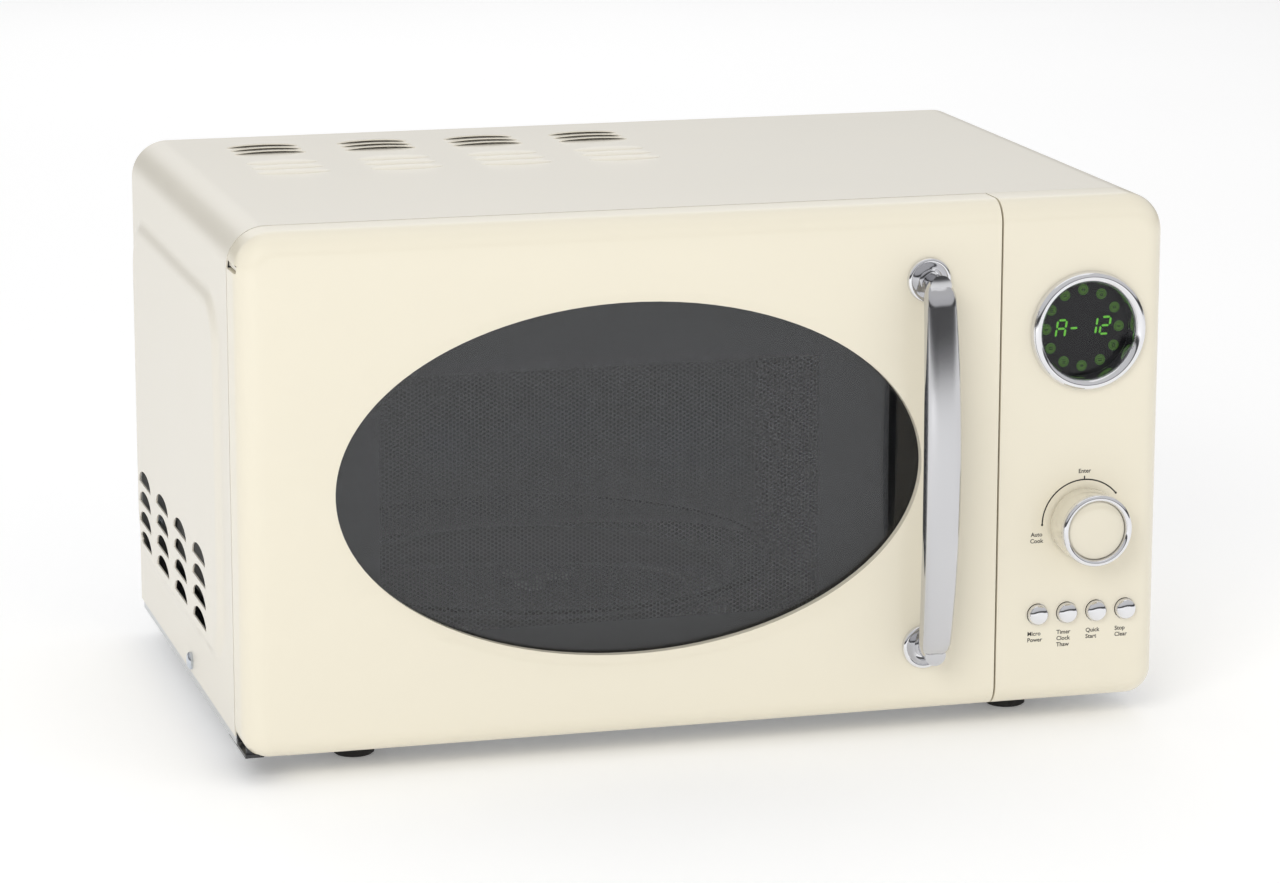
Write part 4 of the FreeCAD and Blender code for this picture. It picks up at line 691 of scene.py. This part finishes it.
class OVEN_OT_handle(OvenOperator, bpy.types.Operator):
    """Shapes the bowed chrome handle, its stems and the rosettes it stands on"""

    bl_idname = "oven.handle"
    bl_label = "Handle"

    def bar(self, low, high):
        """The bowed bar, drawn from one oval by extruding it upwards."""
        middle_x, middle_z = (low.x + high.x) / 2, (low.z + high.z) / 2
        half = (high.z - low.z - 3 * MM) / 2
        half_width, half_depth, end_length = 9.0 * MM, 5.5 * MM, 9 * MM
        narrowing, bow, end_bow = 1.7 * MM, 8.5 * MM, 4.5 * MM
        tip_share, count = 0.12, 36

        def station(index):
            along = -math.cos(math.pi * index / count)
            from_end = 1 - min(half * (1 - abs(along)), end_length) / end_length
            share = tip_share + (1 - tip_share) * math.sqrt(max(0.0, 1 - from_end ** 2))
            back = low.y + half_depth + bow * along ** 2 + end_bow * from_end ** 2
            wide = (half_width - narrowing * along ** 2) * share
            return Vector((middle_x, back, middle_z + half * along)), wide, half_depth * share

        centre, wide, deep = station(0)
        clear_selection()
        bpy.ops.mesh.primitive_plane_add(size=2, location=centre)
        piece = put(bpy.context.object, (0, 0, 0), (wide, deep, 1))
        edit(piece, "VERT")
        bpy.ops.mesh.select_all(action="SELECT")
        bpy.ops.mesh.bevel(offset=deep * 0.86, segments=9, affect="VERTICES")
        bpy.ops.mesh.select_mode(type="FACE")
        bpy.ops.mesh.select_all(action="SELECT")
        for index in range(1, count + 1):
            place, next_wide, next_deep = station(index)
            bpy.ops.mesh.extrude_region_move(TRANSFORM_OT_translate={"value": place - centre})
            bpy.ops.transform.resize(value=(next_wide / wide, next_deep / deep, 1), center_override=place)
            centre, wide, deep = place, next_wide, next_deep
        bpy.ops.mesh.select_all(action="SELECT")
        bpy.ops.mesh.normals_make_consistent(inside=False)
        bpy.ops.object.mode_set(mode="OBJECT")
        return piece

    def execute(self, context):
        sizes = context.scene.oven_sizes
        low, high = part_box("handle_bar")
        middle_x = (low.x + high.x) / 2
        pieces = [self.bar(low, high)]
        profile = [(0, 0), (5.2, 0), (4.6, 1.2), (4.4, 3), (4.4, 14), (5.2, 18), (0, 19)]
        for z in STEM_Z:
            pieces.append(turned("stem", profile, (middle_x, high.y - 0.1 * MM, z * MM), 40, FRONT))
        handle = joined("handle_chrome", pieces)
        # The handle takes the darker copy of the chrome, its colour darkened as painted shade to dim its
        # reflections.
        dress(handle, "chrome", "door", "handle_bar", angle=40, own="satin_chrome")

        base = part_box("handle_rosettes")[1].y
        profile = [(4.6, 0.1), (4.6, 1.0), (6.2, 1.1), (7.4, 1.6), (8.2, 2.3), (8.9, 2.7), (9.6, 2.75),
                   (10.3, 2.4), (10.7, 1.7), (10.8, 0.9), (10.8, 0.05), (4.6, 0.1)]
        rosettes = [turned("rosette", profile, (middle_x, base, z * MM), sizes.steps, FRONT)
                    for z in STEM_Z]
        dress(joined("rosettes_chrome", rosettes), "chrome", "door", "handle_rosettes", angle=50)
        skinned("handle_screws", "handle_screws_plated")
        return {"FINISHED"}


class OVEN_OT_display(OvenOperator, bpy.types.Operator):
    """Turns the display's chrome bezel and draws its symbols and digits"""

    bl_idname = "oven.display"
    bl_label = "Display"

    def segment(self, size, place, upright, slant):
        """One bar of a digit, pointed at both ends."""
        long, thick = size
        clear_selection()
        bpy.ops.mesh.primitive_cube_add(size=1)
        bar = put(bpy.context.object, (0, 0, 0), (long, 0.15 * MM, thick))
        edit(bar, "EDGE")
        pick(bar, "edges", lambda middle, way: abs(way.y) > 0.01 * MM)
        bpy.ops.mesh.bevel(offset=thick * 0.42, segments=1, affect="EDGES")
        bpy.ops.object.mode_set(mode="OBJECT")
        bar.rotation_euler = (0, math.radians(-90 + slant) if upright else 0, 0)
        bar.location = place
        return settle(bar, "segment")

    def digit(self, shown, x, z, level, height):
        """A slanted seven-segment digit, its bars named a to g."""
        wide, half, lean = height * 0.55, height / 2, 9.0
        drift = math.tan(math.radians(lean))
        flat = {"a": half, "g": 0.0, "d": -half}
        sides = {"f": (-1, 1), "b": (1, 1), "e": (-1, -1), "c": (1, -1)}
        bars = []
        for letter in shown:
            if letter in flat:
                rise = flat[letter]
                place = (x + rise * drift, level, z + rise)
                bars.append(self.segment((wide * 0.78, 0.95 * MM), place, False, 0))
            else:
                side, row = sides[letter]
                rise = row * half / 2
                place = (x + side * wide / 2 + rise * drift, level, z + rise)
                bars.append(self.segment((half * 0.80, 0.95 * MM), place, True, lean))
        return bars

    def symbols(self, x, z, level):
        """A ring of round symbols, each a disc with a small drawing left dark on it."""
        discs, drawings = [], []
        for index in range(SYMBOL_COUNT):
            around = 2 * math.pi * index / SYMBOL_COUNT
            place = Vector((x, level, z))
            place += SYMBOL_RING * MM * Vector((math.cos(around), 0, math.sin(around)))
            discs.append(turned("disc", [(0, 0.1), (2.5, 0.1), (2.6, 0), (0, 0)], place, 32, FRONT))
            front = place - Vector((0, 0.14 * MM, 0))
            drawings.append(turned("rim", [(1.95, 0), (2.1, 0), (2.1, 0.05), (1.95, 0.05), (1.95, 0)],
                                   front, 24, FRONT))
            for bar in range(1 + index % 3):
                lift = (bar - (index % 3) / 2) * 1.0 * MM
                low = front + Vector((-1.1 * MM, -0.05 * MM, lift - 0.16 * MM))
                drawings.append(block(low, low + Vector((2.2 * MM, 0.05 * MM, 0.32 * MM))))
            inner = 0.35 + 0.1 * (index % 4)
            outer = inner + 0.25
            profile = [(inner, 0), (outer, 0), (outer, 0.06), (inner, 0.06), (inner, 0)]
            drawings.append(turned("spot", profile, front, 16, FRONT, sweep=360 if index % 2 else 180))
        return discs, drawings

    def execute(self, context):
        sizes = context.scene.oven_sizes
        low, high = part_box("display_bezel")
        x, z = (low.x + high.x) / 2, (low.z + high.z) / 2
        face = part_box("control_panel")[0].y
        profile = [(25.0, -7.0), (23.1, -7.0), (23.1, 0.2), (23.3, 1.2), (23.8, 2.3), (24.6, 3.3),
                   (25.5, 3.95), (26.4, 4.2), (27.2, 3.95), (28.1, 3.3), (28.8, 2.2), (29.1, 1.1),
                   (29.25, 0.1), (28.4, -0.3), (25.0, -0.3), (25.0, -7.0)]
        bezel = turned("bezel", profile, (x, face, z), sizes.steps * 2, FRONT)
        dress(settle(bezel, "bezel_chrome"), "chrome", "root", "display_bezel", angle=40)

        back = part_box("display_module")[0].y
        mask = turned("mask", [(0, 0), (24.4, 0), (24.4, 0.3), (0, 0.3)], (x, back, z), sizes.steps, FRONT)
        dress(settle(mask, "display_mask"), "display_block", "root")
        skinned("display_lens", "display_window")

        level = back - 0.45 * MM
        discs, drawings = self.symbols(x, z, level)
        dress(joined("display_symbols", discs), None, "root", own="symbol")
        dress(joined("display_drawings", drawings), None, "root", own="display_block")
        reading = (("abcefg", -10.9, 0), ("g", -4.4, 0), ("fe", 9.4, 0.6), ("abged", 11.6, 0.6))
        bars = []
        for shown, across, rise in reading:
            bars += self.digit(shown, x + across * MM, z + rise * MM, level, sizes.digit_height)
        dress(joined("display_digits", bars), None, "root", own="glow")
        return {"FINISHED"}


class OVEN_OT_knob(OvenOperator, bpy.types.Operator):
    """Turns the knob's glossy body, its chrome ring and its cap"""

    bl_idname = "oven.knob"
    bl_label = "Knob"

    def execute(self, context):
        sizes = context.scene.oven_sizes
        low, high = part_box("knob_ring")
        x, z = (low.x + high.x) / 2, (low.z + high.z) / 2
        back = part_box("knob_body")[1].y
        profile = [(15.2, 0), (16.9, 0), (17.35, 0.3), (17.5, 0.9), (17.5, 8), (17.3, 15.25), (15.2, 15.25),
                   (3.2, 15.2), (3.2, 13.2), (15.2, 13.2), (15.2, 0)]
        body = turned("knob", profile, (x, back, z), sizes.steps, FRONT)
        dress(settle(body, "knob_side"), "knob_cream", "knob", "knob_body", angle=35)

        profile = [(14.35, 0), (17.4, 0), (17.7, 0.3), (17.8, 0.9), (17.75, 1.7), (17.45, 2.5),
                   (16.9, 3.15), (16.2, 3.45), (15.6, 3.4), (15.0, 2.9), (14.6, 2.2), (14.35, 1.4),
                   (14.35, 0)]
        ring = turned("ring", profile, (x, high.y, z), sizes.steps, FRONT)
        dress(settle(ring, "knob_ring_chrome"), "chrome", "knob", "knob_ring", angle=45)

        profile = [(0, 0), (14.2, 0), (14.25, 0.9), (14.0, 1.35), (13.4, 1.65), (10, 2.0), (5, 2.25),
                   (0, 2.3)]
        cap = turned("cap", profile, (x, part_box("knob_cap")[1].y, z), sizes.steps, FRONT)
        dress(settle(cap, "knob_cap_cream"), "knob_cream", "knob", "knob_cap", angle=45)
        return {"FINISHED"}


class OVEN_OT_buttons(OvenOperator, bpy.types.Operator):
    """Domes the four chrome buttons"""

    bl_idname = "oven.buttons"
    bl_label = "Buttons"

    def execute(self, context):
        for index in range(1, 5):
            node = f"button_{index}"
            low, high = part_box(node)
            x, z = (low.x + high.x) / 2, (low.z + high.z) / 2
            tall = (high.y - low.y) / MM
            below_top = ((2, 8.1), (6.3, 8.1), (6.3, 6.7), (5.1, 6.7), (5.1, 2.6), (5.0, 2.0), (4.7, 1.4),
                         (4.1, 0.85), (3.2, 0.4), (2.1, 0.12), (1.0, 0.02), (0, 0))
            profile = [(0, 0), (2, 0)] + [(radius, tall - drop) for radius, drop in below_top]
            button = turned("button", profile, (x, high.y, z), 64, FRONT)
            dress(settle(button, f"{node}_dome"), "chrome", node, node, angle=40)
        return {"FINISHED"}


class OVEN_OT_labels(OvenOperator, bpy.types.Operator):
    """Prints the dial's arc and the small plain labels on the control panel"""

    bl_idname = "oven.labels"
    bl_label = "Labels"

    def line(self, words, x, z, level, size, align="LEFT"):
        """One printed line, made a thin mesh."""
        clear_selection()
        bpy.ops.object.text_add(location=(x, level, z), rotation=FRONT)
        text = bpy.context.object
        text.data.body = words
        text.data.size = size
        text.data.align_x = align
        text.data.extrude = 0.02 * MM
        text.data.offset = 0.05 * MM
        text.data.resolution_u = 3
        bpy.ops.object.convert(target="MESH")
        bpy.ops.object.transform_apply(location=True, rotation=True, scale=True)
        return bpy.context.object

    def execute(self, context):
        size = context.scene.oven_sizes.print_height
        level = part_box("control_panel")[0].y - 0.03 * MM
        low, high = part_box("knob_body")
        x, z = (low.x + high.x) / 2, (low.z + high.z) / 2
        radius = DIAL_RADIUS * MM
        marks = [turned("arc", [(20.95, 0), (21.6, 0), (21.6, 0.04), (20.95, 0.04), (20.95, 0)],
                        (x, level, z), 90, FRONT, sweep=DIAL_SWEEP, start=DIAL_START)]
        for degrees in (DIAL_START, DIAL_START - DIAL_SWEEP):
            around = math.radians(degrees)
            spot = (x + radius * math.cos(around), level, z + radius * math.sin(around))
            marks.append(turned("spot", [(0, 0.05), (0.55, 0.05), (0.55, 0), (0, 0)], spot, 20, FRONT))
        tick = Vector((0.3, 0.05, 1.8)) * MM
        foot = Vector((x - tick.x, level - tick.y, z + radius))
        marks.append(block(foot, foot + Vector((2 * tick.x, tick.y, tick.z))))
        marks.append(self.line("Enter", x, z + DIAL_LABEL_ABOVE * MM, level, size, "CENTER"))
        for row, words in enumerate(("Auto", "Cook")):
            drop = (DIAL_LABEL_BELOW + DIAL_LABEL_STEP * row) * MM
            marks.append(self.line(words, x - DIAL_LABEL_LEFT * MM, z - drop, level, size, "CENTER"))
        captions = (("Micro", "Power"), ("Timer", "Clock", "Thaw"), ("Quick", "Start"), ("Stop", "Clear"))
        for index, lines in enumerate(captions, 1):
            low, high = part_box(f"button_{index}")
            for row, words in enumerate(lines):
                start, drop = low.x + CAPTION_INSET * MM, (CAPTION_BELOW + CAPTION_STEP * row) * MM
                marks.append(self.line(words, start, (low.z + high.z) / 2 - drop, level, size))
        dress(joined("printed_labels", marks), None, "root", own="ink")
        return {"FINISHED"}


class OVEN_OT_inside(OvenOperator, bpy.types.Operator):
    """Smooths the tray, the roller ring and wheels, the cavity and the small parts, and coils the spring"""

    bl_idname = "oven.inside"
    bl_label = "Inside and small parts"

    def spring(self):
        """The latch's coiled spring, its wire following a helix."""
        low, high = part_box("latch_spring")
        x, y = (low.x + high.x) / 2, (low.y + high.y) / 2
        wire, coil_radius, turns = 0.35 * MM, 2.6 * MM, 9
        tall = high.z - low.z - 2 * wire
        clear_selection()
        bpy.ops.mesh.primitive_circle_add(vertices=10, radius=wire, fill_type="NOTHING",
                                          location=(coil_radius, 0, 0), rotation=FRONT)
        coil = bpy.context.object
        bpy.ops.object.transform_apply(location=True, rotation=True, scale=True)
        modify(coil, "SCREW", angle=2 * math.pi, screw_offset=tall / turns, iterations=turns, steps=28,
               render_steps=28, axis="Z")
        edit(coil)
        bpy.ops.mesh.select_all(action="SELECT")
        bpy.ops.mesh.remove_doubles(threshold=0.001 * MM)
        bpy.ops.object.mode_set(mode="OBJECT")
        coil.location = (x, y, low.z + wire)
        return settle(coil, "latch_spring_coil")

    def execute(self, context):
        for node, name in SMOOTHED.items():
            skinned(node, name)
        dress(self.spring(), "screw_steel", "door", "latch_spring", angle=60)
        return {"FINISHED"}


SMOOTHED = {
    "feet": "feet_rubber",
    "wrapper_screws": "wrapper_screws_plated",
    "rear_panel": "rear_sheet",
    "base_plate": "base_sheet",
    "cord_gland": "gland_bush",
    "front_plate": "front_sheet",
    "cavity_shell": "cavity_lining",
    "glass_tray": "tray_glass_plate",
    "roller_ring": "roller_ring_moulding",
    "roller_wheel_1": "wheel_1_moulding",
    "roller_wheel_2": "wheel_2_moulding",
    "roller_wheel_3": "wheel_3_moulding",
    "turntable_coupler": "coupler_moulding",
    "fan_blade": "fan_blade_moulding",
    "capacitor": "capacitor_can",
}


class OVEN_OT_stage(OvenOperator, bpy.types.Operator):
    """Sets the pale floor, the studio lights, the surroundings and the camera"""

    bl_idname = "oven.stage"
    bl_label = "Stage"

    def floor(self):
        """A wide pale floor."""
        clear_selection()
        bpy.ops.mesh.primitive_plane_add(size=14, location=(0, 0, 0))
        floor = settle(bpy.context.object, "floor")
        paper = finish("floor_paper", (0.97, 0.97, 0.97), 0.8, mottle=0.004, mottle_scale=3, grain=0.002,
                       grain_scale=200, Emission_Color=shade((1, 1, 1), 1), Emission_Strength=0.14)
        floor.data.materials.append(paper)

    def lights(self):
        """Wide soft lights, two in front and two above and behind. Only the last two are mirrored."""
        for name, place, size, power, mirrored in (
                ("key", (-1.5, -2.2, 1.5), 1.4, 29, False), ("fill", (2.2, -1.8, 1.2), 2.0, 8, False),
                ("overhead", (0.1, 0.4, 2.3), 2.2, 6, True), ("rear", (0.4, 2.6, 1.6), 2.2, 9, True)):
            clear_selection()
            bpy.ops.object.light_add(type="AREA", location=place)
            light = bpy.context.object
            light.name = name
            light.data.size = size
            light.data.energy = power
            light.visible_glossy = mirrored
            aim = Vector((0, 0, 0.12)) - Vector(place)
            light.rotation_euler = aim.to_track_quat("-Z", "Y").to_euler()

    def surroundings(self, context):
        """A pale studio: plain to the eye, with darker bands for the chrome to mirror."""
        world = bpy.data.worlds.new("studio")
        context.scene.world = world
        world.use_nodes = True
        nodes, links = world.node_tree.nodes, world.node_tree.links
        background = nodes["Background"]
        background.inputs["Strength"].default_value = 0.64
        where = nodes.new("ShaderNodeTexCoord")
        parts = nodes.new("ShaderNodeSeparateXYZ")
        links.new(where.outputs["Generated"], parts.inputs["Vector"])
        bands = nodes.new("ShaderNodeValToRGB")
        ramp = bands.color_ramp
        ramp.elements[0].position, ramp.elements[0].color = 0.0, (0.55, 0.55, 0.56, 1)
        ramp.elements[1].position, ramp.elements[1].color = 1.0, (1, 1, 1, 1)
        for position, level in ((0.48, 0.80), (0.52, 0.12), (0.58, 0.10), (0.62, 0.9), (0.8, 1.0)):
            ramp.elements.new(position).color = (level, level, level * 1.02, 1)
        half = nodes.new("ShaderNodeMath")
        half.operation = "MULTIPLY_ADD"
        half.inputs[1].default_value = 0.5
        half.inputs[2].default_value = 0.5
        links.new(parts.outputs["Z"], half.inputs[0])
        links.new(half.outputs["Value"], bands.inputs["Fac"])
        seen = nodes.new("ShaderNodeLightPath")
        plain = nodes.new("ShaderNodeMix")
        plain.data_type = "RGBA"
        plain.inputs["A"].default_value = (1, 1, 1, 1)
        links.new(seen.outputs["Is Glossy Ray"], plain.inputs["Factor"])
        links.new(bands.outputs["Color"], plain.inputs["B"])
        links.new(plain.outputs["Result"], background.inputs["Color"])

    def camera(self, context):
        """The camera, set by its place and the directions of its right, up and back."""
        clear_selection()
        bpy.ops.object.camera_add()
        camera = bpy.context.object
        camera.name = "camera"
        camera.data.lens = CAMERA_LENS
        camera.data.sensor_width = CAMERA_SENSOR
        camera.data.clip_start = 0.05
        turn = Matrix((CAMERA_RIGHT, CAMERA_UP, CAMERA_BACK)).transposed().to_4x4()
        camera.matrix_world = Matrix.Translation(CAMERA_PLACE) @ turn
        context.scene.camera = camera

    def execute(self, context):
        self.camera(context)
        self.floor()
        self.lights()
        self.surroundings(context)
        context.scene.view_settings.view_transform = "Standard"
        return {"FINISHED"}


# ---------------------------------------------------------------- the add-on


class OVEN_PT_panel(bpy.types.Panel):
    """Lists the oven's sizes, colours and builders"""

    bl_label = "Oven"
    bl_idname = "OVEN_PT_panel"
    bl_space_type = "VIEW_3D"
    bl_region_type = "UI"
    bl_category = "Oven"

    def draw(self, context):
        column = self.layout.column()
        for group in (context.scene.oven_sizes, context.scene.oven_colours):
            for name in group.__annotations__:
                column.prop(group, name)
        for builder in BUILDERS:
            column.operator(builder.bl_idname)


BUILDERS = (OVEN_OT_stage, OVEN_OT_finishes, OVEN_OT_wrapper, OVEN_OT_front, OVEN_OT_window, OVEN_OT_handle,
            OVEN_OT_display, OVEN_OT_knob, OVEN_OT_buttons, OVEN_OT_labels, OVEN_OT_inside)
CLASSES = (OvenSizes, OvenColours) + BUILDERS + (OVEN_PT_panel,)


def register():
    for kind in CLASSES:
        bpy.utils.register_class(kind)
    bpy.types.Scene.oven_sizes = PointerProperty(type=OvenSizes)
    bpy.types.Scene.oven_colours = PointerProperty(type=OvenColours)


def unregister():
    del bpy.types.Scene.oven_colours
    del bpy.types.Scene.oven_sizes
    for kind in reversed(CLASSES):
        bpy.utils.unregister_class(kind)


def main():
    """Registers the add-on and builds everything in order."""
    register()
    for builder in BUILDERS:
        group, name = builder.bl_idname.split(".")
        getattr(getattr(bpy.ops, group), name)()
    clear_selection()


if __name__ == "__main__":
    main()
